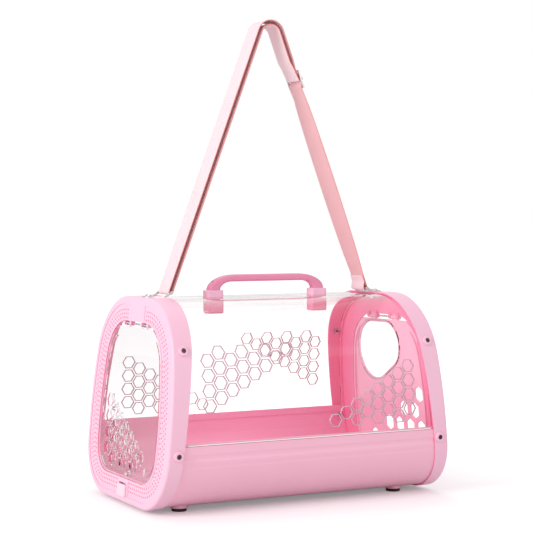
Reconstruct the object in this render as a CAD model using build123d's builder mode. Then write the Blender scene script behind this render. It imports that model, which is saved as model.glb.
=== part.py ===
from build123d import *
from collections import namedtuple
from math import asin, atan2, cos, degrees, radians, sin, sqrt
import os

os.makedirs("parts", exist_ok=True)

# Hard pet carrier: two moulded end caps hold a clear wrapped shell and a
# trough-shaped tray. Each end has a door hinged along its top edge.
# +Z is up, the long front faces -Y, and the origin is on the ground under
# the middle of the carrier. Sizes are millimetres.

# Shell as a whole
foot_lift = 5.0
base_length = 476.0
end_lean = 5.26
cap_depth = 21.0
mouth_lean = 7.35

# Barrel-shaped outline of the end caps, heights above their underside
Outline = namedtuple("Outline", "half_width low high belly side_r top_r low_r")
cap_outline = Outline(154.6, 0.0, 298.6, 104.0, 576.0, 105.0, 80.0)
door_hole = Outline(112.0, 35.0, 264.0, 110.0, 500.0, 66.0, 44.0)

# Walls and fits
cap_wall = 2.0
ring_plate = 4.0
stop_depth = 8.0
stop_step = 7.4
edge_round = 3.5
recess_depth = 0.8
recess_border = 10.0
recess_margin = 3.0
wall_fit = 0.2
clear_wall = 2.5
seam_gap = 0.8

# Tray
tray_height = 97.0
tray_wall = 3.0
tray_thick_wall = 4.2
ledge_height = 70.0
lip_low = 91.0
lip_high = 101.0
lip_wall = 2.0
flute_heights = (80.0, 66.0, 48.0)
flute_r = 14.0
flute_depth = 0.9
rib_wall = 2.0
rib_spacing = 50.0
floor_height = 20.0
floor_wall = 2.5
floor_end_gap = 14.0
floor_edge_gap = 1.0

# Hexagonal vents of the clear shell
vent_pitch = 21.0
vent_flat = 17.4
vent_end_inset = 74.0
vent_middle = 173.0
back_vent_drop = 5.0
vent_columns = (4, 4, 3, 3, 2, 2, 1, 1)

# Doors
door_gap = 1.0
door_wall = 2.9
door_set_back = 1.0
lip_overlap = 3.0
lip_band = 5.0
lip_plate = 2.0
lip_top = 225.0
rim_inset = 6.5
rim_width = 3.0
rim_depth = 3.0
hinge_drop = 3.6
hinge_depth = 3.2
pin_r = 1.5
pin_fit = 0.05
barrel_r = 3.0
barrel_centre = 32.0
barrel_width = 16.0
barrel_side_gap = 0.4
hinge_lug_width = 6.0
hinge_lug_r = 3.4
pin_overhang = 1.0
door_top_gap = 5.0
door_corner_drop = 2.0
rim_top = 240.0

# Hexagonal vents of the clear door, with raised collars
door_vent_pitch = 23.6
door_vent_flat = 16.5
door_collar_flat = 21.5
door_vent_x = -78.0
door_vent_z = 141.0
door_vent_columns = (4, 4, 3, 3, 2, 2, 1)
pull_block = (8.0, 12.0)
pull_block_places = ((-52.0, 52.0), (62.0, 52.0))

# Large hexagonal vents and look-out window of the moulded door
big_vent_pitch = 31.0
big_vent_flat = 23.0
big_vent_x = -86.0
big_vent_z = 143.0
big_vent_rows = 4
window_circles = ((36.0, 204.5, 46.0), (-3.0, 215.5, 35.5))
pane_overlap = 3.5
pane_wall = 2.0

# Door latch
latch_travel = 6.0
thumb_size = (30.0, 18.0)
thumb_low = 8.5
thumb_wall = 2.3
thumb_gap = 0.3
slot_width = 25.0
slot_low = 13.0
slot_high = 28.6
neck_size = (18.0, 6.0)
neck_low = 19.5
carriage_size = (24.0, 17.2)
carriage_low = 14.8
carriage_wall = 2.2
tongue_width = 10.0
tongue_high = 43.0
strike_low = 39.0
strike_high = 46.5
strike_width = 16.0
strike_depth = 6.8
strike_fit = 0.5
latch_pad_width = 40.0
top_pad_width = 60.0

# Cap screws, as insets from the foot of the ends and heights above the caps' underside
screw_places = ((37.0, 229.7), (23.4, 85.3))
screw_r = 2.0
screw_hole_fit = 0.2
washer_r = 7.4
washer_wall = 3.2
washer_pocket_r = 3.7
washer_pocket = 2.2
screw_head_r = 3.3
screw_head = 1.8
socket_flat = 2.5
socket_depth = 1.2
nut_flat = 7.0
nut_wall = 3.2
nut_gap = 0.1
screw_tip = 1.0

# Feet
foot_inset = 58.0
foot_spread = 78.0
foot_r = 11.0
foot_recess_r = 5.0
foot_recess = 1.6
boss_r = 13.0
boss_reach = 16.0
foot_screw_r = 1.6
foot_screw_head_r = 3.4
foot_screw_head = 1.4
foot_screw_length = 8.0

# Handle
handle_half_span = 88.5
handle_rise = 33.0
handle_leg = 18.0
handle_grip = 10.5
handle_outer_run = 44.0
handle_inner_run = 20.0
handle_width = 16.0
handle_round = 3.5
collar_size = (27.0, 20.0)
collar_height = 10.0
collar_round = 4.0
block_size = (27.0, 20.0)
block_height = 22.0
block_round = 4.0
handle_screw_r = 2.5
handle_screw_head_r = 4.6
handle_screw_head = 3.0
handle_screw_bite = 14.0
handle_pocket = 4.0

# Strap brackets
bracket_inset = 48.0
bracket_head_r = 13.0
bracket_plate = 2.0
bracket_bend_run = 15.0
bar_run = 24.0
bar_rise = 7.0
bar_r = 2.0
bar_length = 48.0
arm_width = 4.0
bracket_screw_r = 2.5
bracket_head_screw_r = 8.0
bracket_screw_head = 2.2
bracket_nut_flat = 10.0
bracket_nut = 4.0

# Shoulder strap webbing and its slider
strap_width = 38.0
strap_wall = 1.6
strap_fit = 0.4
strap_lean = 0.3785
strap_top_r = 19.0
tail_length = 20.0
tail_bend = 12.0
slider_rise = 326.0
slider_bar_r = 1.3
slider_pitch = 13.0
slider_run = 34.0
slider_stand = 1.0
slider_width = 46.0
slider_rail = 3.0
weave_fit = 0.2
wrap_angle = 215.0

# Derived frames
mouth_length = base_length - 2 * cap_depth
bracket_x = base_length / 2 - bracket_inset
bracket_bend_x = bracket_x - bracket_bend_run
bar_x = bracket_x - bar_run
vent_outer_x = base_length / 2 - vent_end_inset
foot_place = (base_length / 2 - foot_inset, foot_spread)
cap_top = foot_lift + cap_outline.high
panel_outer = cap_wall + wall_fit
panel_inner = panel_outer + clear_wall
hinge_height = door_hole.high - hinge_drop
door_top = hinge_height - door_top_gap
door_leaf = door_hole._replace(high=door_hole.high - door_corner_drop)


def arc_centres(shape):
    """Centres and joint angles of the arcs that make one side of an outline."""
    side_y = shape.half_width - shape.side_r
    top_z = shape.high - shape.top_r
    low_z = shape.low + shape.low_r
    top_y = side_y + sqrt((shape.side_r - shape.top_r) ** 2 - (top_z - shape.belly) ** 2)
    low_y = side_y + sqrt((shape.side_r - shape.low_r) ** 2 - (low_z - shape.belly) ** 2)
    top_angle = degrees(atan2(top_z - shape.belly, top_y - side_y))
    low_angle = degrees(atan2(low_z - shape.belly, low_y - side_y))
    return side_y, (top_y, top_z, top_angle), (low_y, low_z, low_angle)


def barrel_face(shape, inset=0.0, mode=Mode.ADD):
    """Closed barrel outline, moved inwards by an inset, drawn in the open sketch."""
    side_y, (top_y, top_z, top_angle), (low_y, low_z, low_angle) = arc_centres(shape)
    with BuildLine() as outline:
        CenterArc((low_y, low_z), shape.low_r - inset, -90, 90 + low_angle)
        CenterArc((side_y, shape.belly), shape.side_r - inset, low_angle, top_angle - low_angle)
        CenterArc((top_y, top_z), shape.top_r - inset, top_angle, 90 - top_angle)
        mirror(about=Plane.YZ)
        Line((-top_y, shape.high - inset), (top_y, shape.high - inset))
        Line((-low_y, shape.low + inset), (low_y, shape.low + inset))
    make_face(outline.edges(), mode=mode)


def barrel_band(shape, outer, inner, low, high, mode=Mode.ADD):
    """Wall between two insets of an outline, kept between two heights."""
    with BuildSketch(mode=Mode.PRIVATE) as band:
        barrel_face(shape, outer)
        barrel_face(shape, inner, mode=Mode.SUBTRACT)
        with Locations((0, (low + high) / 2)):
            Rectangle(4 * shape.half_width, high - low, mode=Mode.INTERSECT)
    add(band.sketch, mode=mode)


def shell_normal(height):
    """Half width of the cap outline at a height, and how far its face looks up, in degrees."""
    side_y, (top_y, top_z, top_angle), _ = arc_centres(cap_outline)
    side_end = cap_outline.belly + cap_outline.side_r * sin(radians(top_angle))
    if height <= side_end:
        tilt = asin((height - cap_outline.belly) / cap_outline.side_r)
        return side_y + cap_outline.side_r * cos(tilt), degrees(tilt)
    tilt = asin((height - top_z) / cap_outline.top_r)
    return top_y + cap_outline.top_r * cos(tilt), degrees(tilt)


def end_plane(side, depth=0.0):
    """Leaning plane of an end, moved inwards; local y runs up the end and z points outwards."""
    lean = radians(end_lean)
    outwards = Vector(side * cos(lean), 0, sin(lean))
    origin = Vector(side * base_length / 2, 0, foot_lift) - outwards * depth
    return Plane(origin=origin, x_dir=(0, side, 0), z_dir=outwards)


def mouth_plane(side):
    """Leaning plane of the inner edge of an end cap."""
    lean = radians(mouth_lean)
    outwards = Vector(side * cos(lean), 0, sin(lean))
    return Plane(origin=(side * mouth_length / 2, 0, foot_lift), x_dir=(0, side, 0), z_dir=outwards)


def screw_plane(side_x, side_y, place):
    """Tangent plane of the cap at a screw, with z pointing out of the shell."""
    inset, height = place
    x = base_length / 2 - inset
    half_width, tilt = shell_normal(height)
    outwards = Vector(0, side_y * cos(radians(tilt)), sin(radians(tilt)))
    origin = Vector(side_x * x, side_y * half_width, foot_lift + height)
    return Plane(origin=origin, x_dir=(1, 0, 0), z_dir=outwards)


section_plane = Plane(origin=(0, 0, foot_lift), x_dir=(0, 1, 0), z_dir=(1, 0, 0))
screw_planes = [
    screw_plane(side_x, side_y, place)
    for side_x in (-1, 1)
    for side_y in (-1, 1)
    for place in screw_places
]


def export_piece(piece, name):
    """Label a finished piece and write its STEP file."""
    piece.label = name
    export_step(piece, f"parts/{name}.step")


def vent_places(columns, pitch, first_x, first_z):
    """Centres of a triangular cluster of flat-topped hexagons, column by column."""
    step = pitch * sqrt(3) / 2
    places = []
    for column, count in enumerate(columns):
        drop = 0.0 if column % 2 else pitch / 2
        for row in range(count):
            places.append((first_x + column * step, first_z - drop - row * pitch))
    return places


# Vents of the clear shell: two point-symmetric clusters on each long face
vent_step_z = 2.5 * vent_pitch
upper_cluster = vent_places(vent_columns, vent_pitch, -vent_outer_x, vent_middle + vent_step_z)
lower_cluster = [(-x, 2 * vent_middle - z) for x, z in upper_cluster]
front_vents = upper_cluster + lower_cluster
back_vents = [(x, z - back_vent_drop) for x, z in front_vents]

# Clear shell wrapped over the front, the top and the back
with BuildPart() as clear_shell:
    with BuildSketch(section_plane):
        barrel_band(cap_outline, panel_outer, panel_inner, tray_height + seam_gap, cap_outline.high)
    extrude(amount=base_length, both=True)
    for side in (-1, 1):
        split(bisect_by=end_plane(side, stop_depth), keep=Keep.BOTTOM)
    for side, vents in ((-1, front_vents), (1, back_vents)):
        face_plane = Plane(origin=(0, 0, foot_lift), x_dir=(-side, 0, 0), z_dir=(0, side, 0))
        with BuildSketch(face_plane.offset(cap_outline.half_width / 2)):
            with Locations(*vents):
                RegularPolygon(vent_flat / 2, 6, major_radius=False, rotation=0)
        extrude(amount=cap_outline.half_width, mode=Mode.SUBTRACT)
    for plane in screw_planes:
        with BuildSketch(plane.offset(-2 * panel_inner)):
            Circle(screw_r + screw_hole_fit)
        extrude(amount=3 * panel_inner, mode=Mode.SUBTRACT)
    with BuildSketch(Plane.XY.offset(cap_top - 2 * panel_inner)):
        with Locations((-bracket_x, 0), (bracket_x, 0)):
            Circle(bracket_screw_r + screw_hole_fit)
        with Locations((-handle_half_span, 0), (handle_half_span, 0)):
            Circle(handle_screw_r + screw_hole_fit)
    extrude(amount=2 * panel_inner, mode=Mode.SUBTRACT)
export_piece(clear_shell.part, "clear_shell")

# Tray: trough with a thick lower wall, a rim that the clear shell stands on,
# a lip behind it, flutes along the outside and ribs under the floor plate
tray_inner = panel_outer + tray_wall
with BuildPart() as base_tray:
    with BuildSketch(section_plane):
        barrel_band(cap_outline, panel_outer, tray_inner, 0, tray_height)
        barrel_band(cap_outline, panel_outer, panel_outer + tray_thick_wall, 0, ledge_height)
        lip_outer = panel_inner + wall_fit
        barrel_band(cap_outline, lip_outer, lip_outer + lip_wall, lip_low, lip_high)
        for height in flute_heights:
            flute_y = shell_normal(height)[0] - panel_outer - flute_depth + flute_r
            with Locations((-flute_y, height), (flute_y, height)):
                Circle(flute_r, mode=Mode.SUBTRACT)
        with Locations((0, (panel_outer + floor_height) / 2)):
            with GridLocations(rib_spacing, 1, 4, 1):
                Rectangle(rib_wall, floor_height - panel_outer)
    extrude(amount=base_length, both=True)
    for side in (-1, 1):
        split(bisect_by=end_plane(side, stop_depth), keep=Keep.BOTTOM)
    with BuildSketch(Plane.XY.offset(foot_lift)):
        with GridLocations(2 * foot_place[0], 2 * foot_place[1], 2, 2):
            Circle(boss_r)
    extrude(amount=boss_reach)
    with BuildSketch(section_plane.offset(-base_length)):
        barrel_face(cap_outline, panel_outer + tray_thick_wall)
        with Locations((0, cap_outline.high / 2 + boss_reach)):
            Rectangle(4 * cap_outline.half_width, cap_outline.high, mode=Mode.SUBTRACT)
        with Locations((0, (panel_outer + floor_height) / 2)):
            with GridLocations(rib_spacing, 1, 4, 1):
                Rectangle(rib_wall, floor_height - panel_outer, mode=Mode.SUBTRACT)
    extrude(amount=2 * base_length, mode=Mode.SUBTRACT)
    with BuildSketch(Plane.XY.offset(foot_lift)):
        with GridLocations(2 * foot_place[0], 2 * foot_place[1], 2, 2):
            Circle(foot_screw_r + pin_fit)
    extrude(amount=foot_screw_length, mode=Mode.SUBTRACT)
    for plane in screw_planes:
        with BuildSketch(plane.offset(-2 * panel_inner)):
            Circle(screw_r + screw_hole_fit)
        extrude(amount=3 * panel_inner, mode=Mode.SUBTRACT)
export_piece(base_tray.part, "base_tray")

# Floor plate: flat plate on the tray's ribs
floor_r = cap_outline.low_r - panel_outer - tray_thick_wall
floor_side = arc_centres(cap_outline)[2][0] + sqrt(floor_r**2 - (cap_outline.low_r - floor_height) ** 2)
floor_length = base_length - 2 * floor_end_gap - 2 * floor_height * sin(radians(end_lean))
with BuildPart() as floor_plate:
    with BuildSketch(Plane.XY.offset(foot_lift + floor_height)):
        RectangleRounded(floor_length, 2 * (floor_side - floor_edge_gap), rib_spacing / 5)
    extrude(amount=floor_wall)
export_piece(floor_plate.part, "floor_plate")


def end_cap(side):
    """End cap: moulded band and ring, with the door opening, hinge lugs and latch slot."""
    with BuildPart() as cavity:
        with BuildSketch(section_plane):
            barrel_face(cap_outline, cap_wall)
        extrude(amount=side * base_length)
        split(bisect_by=end_plane(side, stop_depth), keep=Keep.BOTTOM)
    with BuildPart() as deep_cavity:
        with BuildSketch(section_plane):
            barrel_face(cap_outline, stop_step)
        extrude(amount=side * base_length)
        split(bisect_by=end_plane(side, ring_plate), keep=Keep.BOTTOM)
    with BuildPart() as cap:
        with BuildSketch(section_plane):
            barrel_face(cap_outline)
        extrude(amount=side * base_length)
        split(bisect_by=end_plane(side), keep=Keep.BOTTOM)
        outer_edges = cap.faces().filter_by(end_plane(side)).edges()
        fillet(outer_edges, edge_round)
        split(bisect_by=mouth_plane(side), keep=Keep.TOP)
        add(cavity.part, mode=Mode.SUBTRACT)
        add(deep_cavity.part, mode=Mode.SUBTRACT)
        # Lip that the closed door rests on, left out beside the hinge
        with BuildSketch(end_plane(side, ring_plate + lip_plate)):
            barrel_face(door_hole, -lip_band)
            with Locations((0, lip_top + cap_outline.high / 2)):
                Rectangle(2 * cap_outline.high, cap_outline.high, mode=Mode.SUBTRACT)
        extrude(amount=lip_plate)
        with BuildSketch(end_plane(side, ring_plate + 2 * lip_plate)):
            barrel_face(door_hole, lip_overlap)
        extrude(amount=4 * lip_plate, mode=Mode.SUBTRACT)
        with BuildSketch(end_plane(side, ring_plate)):
            barrel_face(door_hole)
        extrude(amount=2 * ring_plate, mode=Mode.SUBTRACT)
        # Shallow recess of the perforated band, with plain pads over the hinge and round the latch
        with BuildSketch(end_plane(side, recess_depth)):
            barrel_face(cap_outline, recess_border)
            barrel_face(door_hole, -recess_margin, mode=Mode.SUBTRACT)
            with Locations((0, cap_outline.high)):
                Rectangle(top_pad_width, cap_outline.high / 2, mode=Mode.SUBTRACT)
            Rectangle(latch_pad_width, cap_outline.high / 2, mode=Mode.SUBTRACT)
        extrude(amount=2 * recess_depth, mode=Mode.SUBTRACT)
        # Hinge lugs beside the door's barrels
        lug_offset = barrel_width / 2 + barrel_side_gap + hinge_lug_width / 2
        lug_places = [
            centre + direction * lug_offset
            for centre in (-barrel_centre, barrel_centre)
            for direction in (-1, 1)
        ]
        lug_reach = hinge_drop + hinge_lug_r
        for place in lug_places:
            lug_plane = Plane(
                origin=end_plane(side, hinge_depth).from_local_coords((place, hinge_height, 0)),
                x_dir=end_plane(side).z_dir,
                z_dir=(0, side, 0),
            )
            with BuildSketch(lug_plane.offset(-hinge_lug_width / 2)):
                Circle(hinge_lug_r)
                with Locations((-hinge_depth / 2, -lug_reach / 2)):
                    Rectangle(2 * hinge_lug_r - hinge_depth, lug_reach)
                Circle(pin_r + pin_fit, mode=Mode.SUBTRACT)
            extrude(amount=hinge_lug_width)
        # Latch slot
        with BuildSketch(end_plane(side, 2 * ring_plate)):
            with Locations((0, (slot_low + slot_high) / 2)):
                Rectangle(slot_width, slot_high - slot_low)
        extrude(amount=3 * ring_plate, mode=Mode.SUBTRACT)
        for plane in screw_planes:
            if plane.origin.X * side > 0:
                with BuildSketch(plane.offset(-2 * panel_inner)):
                    Circle(screw_r + screw_hole_fit)
                extrude(amount=3 * panel_inner, mode=Mode.SUBTRACT)
        with BuildSketch(Plane.XY.offset(cap_top - 2 * panel_inner)):
            with Locations((side * bracket_x, 0)):
                Circle(bracket_screw_r + screw_hole_fit)
        extrude(amount=3 * panel_inner, mode=Mode.SUBTRACT)
    return cap.part


for side, name in ((-1, "left_end_cap"), (1, "right_end_cap")):
    export_piece(end_cap(side), name)


def door_blank(side):
    """Door panel with its hinge barrels and its strike for the latch tongue."""
    outer = door_set_back
    inner = door_set_back + door_wall
    with BuildPart() as door:
        with BuildSketch(end_plane(side, inner)):
            barrel_face(door_leaf, door_gap)
            with Locations((0, door_top + cap_outline.high / 2)):
                Rectangle(2 * cap_outline.high, cap_outline.high, mode=Mode.SUBTRACT)
        extrude(amount=door_wall)
        # Raised rim round the inner face, left open along the top
        with BuildSketch(end_plane(side, inner + rim_depth)):
            barrel_face(door_leaf, rim_inset)
            barrel_face(door_leaf, rim_inset + rim_width, mode=Mode.SUBTRACT)
            with Locations((0, rim_top + cap_outline.high / 2)):
                Rectangle(2 * cap_outline.high, cap_outline.high, mode=Mode.SUBTRACT)
        extrude(amount=rim_depth)
        # Hinge leaves and barrels
        with BuildSketch(end_plane(side, inner)):
            with Locations((-barrel_centre, 0), (barrel_centre, 0)):
                with Locations((0, (door_top + hinge_height) / 2)):
                    Rectangle(barrel_width, hinge_height - door_top)
        extrude(amount=door_wall)
        for centre in (-barrel_centre, barrel_centre):
            barrel_plane = Plane(
                origin=end_plane(side, hinge_depth).from_local_coords((centre, hinge_height, 0)),
                x_dir=end_plane(side).z_dir,
                z_dir=(0, side, 0),
            )
            with BuildSketch(barrel_plane.offset(-barrel_width / 2)):
                Circle(barrel_r)
            extrude(amount=barrel_width)
            with BuildSketch(barrel_plane.offset(-barrel_width)):
                Circle(pin_r + pin_fit)
            extrude(amount=2 * barrel_width, mode=Mode.SUBTRACT)
        # Strike: a hollow lug that the latch tongue enters from below
        with BuildSketch(end_plane(side, inner + strike_depth)):
            with Locations((0, (strike_low + strike_high) / 2)):
                Rectangle(strike_width, strike_high - strike_low)
        extrude(amount=strike_depth)
        tongue_face = ring_plate + lip_plate + strike_fit
        with BuildSketch(end_plane(side, tongue_face + carriage_wall + strike_fit)):
            with Locations((0, (strike_low + tongue_high + strike_fit) / 2)):
                Rectangle(tongue_width + 2 * strike_fit, tongue_high + strike_fit - strike_low)
        extrude(amount=carriage_wall + 2 * strike_fit, mode=Mode.SUBTRACT)
    return door.part


# Clear door on the left end, with collared vents in its lower back corner
inner_face = door_set_back + door_wall
door_vents = []
for column, count in enumerate(door_vent_columns):
    for row in range(count):
        drop = row * door_vent_pitch + column * door_vent_pitch / 2
        door_vents.append((door_vent_x + column * door_vent_pitch * sqrt(3) / 2, door_vent_z - drop))
with BuildPart() as left_door:
    add(door_blank(-1))
    with BuildSketch(end_plane(-1, inner_face + rim_depth)):
        with Locations(*door_vents):
            RegularPolygon(door_collar_flat / 2, 6, major_radius=False)
        with Locations(*pull_block_places):
            RectangleRounded(*pull_block, 2)
    extrude(amount=rim_depth)
    with BuildSketch(end_plane(-1, inner_face + 2 * rim_depth)):
        with Locations(*door_vents):
            RegularPolygon(door_vent_flat / 2, 6, major_radius=False)
    extrude(amount=inner_face + 3 * rim_depth, mode=Mode.SUBTRACT)
export_piece(left_door.part, "left_door")

# Moulded door on the right end, with large vents and a look-out window
big_vents = []
for row in range(big_vent_rows):
    shift = big_vent_pitch / 2 if row % 2 else 0.0
    count = int((1.5 * row * big_vent_pitch - shift) / big_vent_pitch + 0.01) + 1
    for index in range(count):
        big_vents.append(
            (
                big_vent_x + shift + index * big_vent_pitch,
                big_vent_z - row * big_vent_pitch * sqrt(3) / 2,
            )
        )


def window_face(growth=0.0, mode=Mode.ADD):
    """Egg-shaped outline of the look-out window, made from two circles."""
    with BuildSketch(mode=Mode.PRIVATE) as egg:
        for x, z, radius in window_circles:
            with Locations((x, z)):
                Circle(radius + growth)
        make_hull(egg.edges())
    add(egg.sketch, mode=mode)


with BuildPart() as right_door:
    add(door_blank(1))
    with BuildSketch(end_plane(1, inner_face + 2 * rim_depth)):
        with Locations(*big_vents):
            RegularPolygon(big_vent_flat / 2, 6, major_radius=False, rotation=30)
        window_face()
    extrude(amount=inner_face + 3 * rim_depth, mode=Mode.SUBTRACT)
export_piece(right_door.part, "right_door")

# Clear pane seated on the inner face of the moulded door
with BuildPart() as window_pane:
    with BuildSketch(end_plane(1, inner_face + pane_wall)):
        window_face(pane_overlap)
        with Locations((0, door_top + cap_outline.high / 2)):
            Rectangle(2 * cap_outline.high, cap_outline.high, mode=Mode.SUBTRACT)
    extrude(amount=pane_wall)
export_piece(window_pane.part, "window_pane")

# Hinge pins, one along the top of each door
pin_half = barrel_centre + barrel_width / 2 + barrel_side_gap + hinge_lug_width + pin_overhang
for side, name in ((-1, "left_hinge_pin"), (1, "right_hinge_pin")):
    pin_plane = Plane(
        origin=end_plane(side, hinge_depth).from_local_coords((0, hinge_height, 0)),
        x_dir=end_plane(side).z_dir,
        z_dir=(0, side, 0),
    )
    with BuildPart() as hinge_pin:
        with BuildSketch(pin_plane.offset(-pin_half)):
            Circle(pin_r)
        extrude(amount=2 * pin_half)
    export_piece(hinge_pin.part, name)

# Latches: thumb plate outside, neck through the slot, carriage and tongue inside
carriage_depth = ring_plate + lip_plate + strike_fit
for side, name in ((-1, "left_latch"), (1, "right_latch")):
    with BuildPart() as latch:
        with BuildSketch(end_plane(side, -thumb_gap)):
            with Locations((0, thumb_low + thumb_size[1] / 2)):
                RectangleRounded(*thumb_size, 2.5)
        extrude(amount=thumb_wall)
        fillet(latch.faces().sort_by(Axis(end_plane(side).origin, end_plane(side).z_dir))[-1].edges(), 0.8)
        with BuildSketch(end_plane(side, carriage_depth + carriage_wall)):
            with Locations((0, carriage_low + carriage_size[1] / 2)):
                Rectangle(*carriage_size)
            with Locations((0, (carriage_low + tongue_high) / 2)):
                Rectangle(tongue_width, tongue_high - carriage_low)
        extrude(amount=carriage_wall)
        with BuildSketch(end_plane(side, carriage_depth)):
            with Locations((0, neck_low + neck_size[1] / 2)):
                Rectangle(*neck_size)
        extrude(amount=carriage_depth + thumb_gap)
    export_piece(latch.part, name)

# Cap screws with their pink washers and nuts
panel_depths = [panel_inner if place is screw_places[0] else tray_inner for place in screw_places] * 4
washers, screws, nuts = [], [], []
for plane, depth in zip(screw_planes, panel_depths):
    with BuildPart() as washer:
        with BuildSketch(plane):
            Circle(washer_r)
        extrude(amount=washer_wall)
        fillet(washer.faces().sort_by(Axis(plane.origin, plane.z_dir))[-1].edges(), 1.4)
        with BuildSketch(plane.offset(washer_wall - washer_pocket)):
            Circle(washer_pocket_r)
        extrude(amount=washer_pocket, mode=Mode.SUBTRACT)
        with BuildSketch(plane):
            Circle(screw_r + screw_hole_fit)
        extrude(amount=washer_wall, mode=Mode.SUBTRACT)
    washers.append(washer.part)
    with BuildPart() as screw:
        with BuildSketch(plane.offset(washer_wall - washer_pocket)):
            Circle(screw_head_r)
        extrude(amount=screw_head)
        with BuildSketch(plane.offset(washer_wall - washer_pocket + screw_head - socket_depth)):
            RegularPolygon(socket_flat / 2, 6, major_radius=False)
        extrude(amount=socket_depth, mode=Mode.SUBTRACT)
        shank = depth + nut_gap + nut_wall + screw_tip + washer_wall - washer_pocket
        with BuildSketch(plane.offset(washer_wall - washer_pocket)):
            Circle(screw_r)
        extrude(amount=-shank)
    screws.append(screw.part)
    with BuildPart() as nut:
        with BuildSketch(plane.offset(-depth - nut_gap)):
            RegularPolygon(nut_flat / 2, 6, major_radius=False)
            Circle(screw_r + pin_fit, mode=Mode.SUBTRACT)
        extrude(amount=-nut_wall)
    nuts.append(nut.part)
export_piece(Compound(children=washers), "cap_washers")
export_piece(Compound(children=screws), "cap_screws")
export_piece(Compound(children=nuts), "cap_nuts")

# Rubber feet under the tray's bosses, each held by a screw from below
with BuildPart() as feet:
    with BuildSketch():
        with GridLocations(2 * foot_place[0], 2 * foot_place[1], 2, 2):
            Circle(foot_r)
    extrude(amount=foot_lift)
    fillet(feet.faces().group_by(Axis.Z)[0].edges(), 1.0)
    with BuildSketch():
        with GridLocations(2 * foot_place[0], 2 * foot_place[1], 2, 2):
            Circle(foot_recess_r)
    extrude(amount=foot_recess, mode=Mode.SUBTRACT)
    with BuildSketch():
        with GridLocations(2 * foot_place[0], 2 * foot_place[1], 2, 2):
            Circle(foot_screw_r + pin_fit)
    extrude(amount=foot_lift, mode=Mode.SUBTRACT)
export_piece(feet.part, "feet")

with BuildPart() as foot_screws:
    with BuildSketch(Plane.XY.offset(foot_recess)):
        with GridLocations(2 * foot_place[0], 2 * foot_place[1], 2, 2):
            Circle(foot_screw_head_r)
    extrude(amount=-foot_screw_head)
    with BuildSketch(Plane.XY.offset(foot_recess)):
        with GridLocations(2 * foot_place[0], 2 * foot_place[1], 2, 2):
            Circle(foot_screw_r)
    extrude(amount=foot_screw_length)
export_piece(foot_screws.part, "foot_screws")

# Handle: collars on the clear shell, an arched grip, blocks and screws below
shell_top = cap_top - panel_outer
shell_under = cap_top - panel_inner
collar_top = shell_top + collar_height
grip_top = shell_top + handle_rise
with BuildPart() as handle_collars:
    with BuildSketch(Plane.XY.offset(shell_top)):
        with Locations((-handle_half_span, 0), (handle_half_span, 0)):
            RectangleRounded(*collar_size, collar_round)
            Circle(handle_screw_r + screw_hole_fit, mode=Mode.SUBTRACT)
    extrude(amount=collar_height)
    fillet(handle_collars.faces().group_by(Axis.Z)[-1].edges().filter_by(GeomType.CIRCLE, reverse=True), 1.5)
export_piece(handle_collars.part, "handle_collars")

leg_outer = handle_half_span + handle_leg / 2
leg_inner = handle_half_span - handle_leg / 2
outer_centre = leg_outer - handle_outer_run
inner_centre = leg_inner - handle_inner_run
grip_rise = grip_top - collar_top
palm_rise = grip_rise - handle_grip
with BuildPart() as handle_arch:
    with BuildSketch(Plane.XZ.offset(-handle_width / 2)):
        with BuildLine():
            Line((leg_inner, collar_top), (leg_outer, collar_top))
            EllipticalCenterArc((outer_centre, collar_top), handle_outer_run, grip_rise, 0, arc_size=90)
            Line((outer_centre, grip_top), (-outer_centre, grip_top))
            EllipticalCenterArc((-outer_centre, collar_top), handle_outer_run, grip_rise, 90, arc_size=90)
            Line((-leg_outer, collar_top), (-leg_inner, collar_top))
            EllipticalCenterArc((-inner_centre, collar_top), handle_inner_run, palm_rise, 90, arc_size=90)
            Line((-inner_centre, collar_top + palm_rise), (inner_centre, collar_top + palm_rise))
            EllipticalCenterArc((inner_centre, collar_top), handle_inner_run, palm_rise, 0, arc_size=90)
        make_face()
    extrude(amount=handle_width)
    side_faces = handle_arch.faces().filter_by(Plane.XZ)
    fillet(side_faces.edges().filter_by_position(Axis.Z, collar_top + 0.5, grip_top + 1), handle_round)
    with BuildSketch(Plane.XY.offset(collar_top)):
        with Locations((-handle_half_span, 0), (handle_half_span, 0)):
            Circle(handle_screw_r + pin_fit)
    extrude(amount=handle_screw_bite, mode=Mode.SUBTRACT)
export_piece(handle_arch.part, "handle_arch")

with BuildPart() as handle_blocks:
    with BuildSketch(Plane.XY.offset(shell_under)):
        with Locations((-handle_half_span, 0), (handle_half_span, 0)):
            RectangleRounded(*block_size, block_round)
    extrude(amount=-block_height)
    fillet(handle_blocks.faces().group_by(Axis.Z)[0].edges(), 2.5)
    with BuildSketch(Plane.XY.offset(shell_under)):
        with Locations((-handle_half_span, 0), (handle_half_span, 0)):
            Circle(handle_screw_r + screw_hole_fit)
    extrude(amount=-block_height, mode=Mode.SUBTRACT)
    with BuildSketch(Plane.XY.offset(shell_under - block_height)):
        with Locations((-handle_half_span, 0), (handle_half_span, 0)):
            Circle(handle_screw_head_r + screw_hole_fit)
    extrude(amount=handle_pocket, mode=Mode.SUBTRACT)
export_piece(handle_blocks.part, "handle_blocks")

handle_screw_seat = shell_under - block_height + handle_pocket
with BuildPart() as handle_screws:
    with BuildSketch(Plane.XY.offset(handle_screw_seat)):
        with Locations((-handle_half_span, 0), (handle_half_span, 0)):
            Circle(handle_screw_head_r)
    extrude(amount=-handle_screw_head)
    with BuildSketch(Plane.XY.offset(handle_screw_seat)):
        with Locations((-handle_half_span, 0), (handle_half_span, 0)):
            Circle(handle_screw_r)
    extrude(amount=collar_top + handle_screw_bite - 1.0 - handle_screw_seat)
export_piece(handle_screws.part, "handle_screws")

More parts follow.
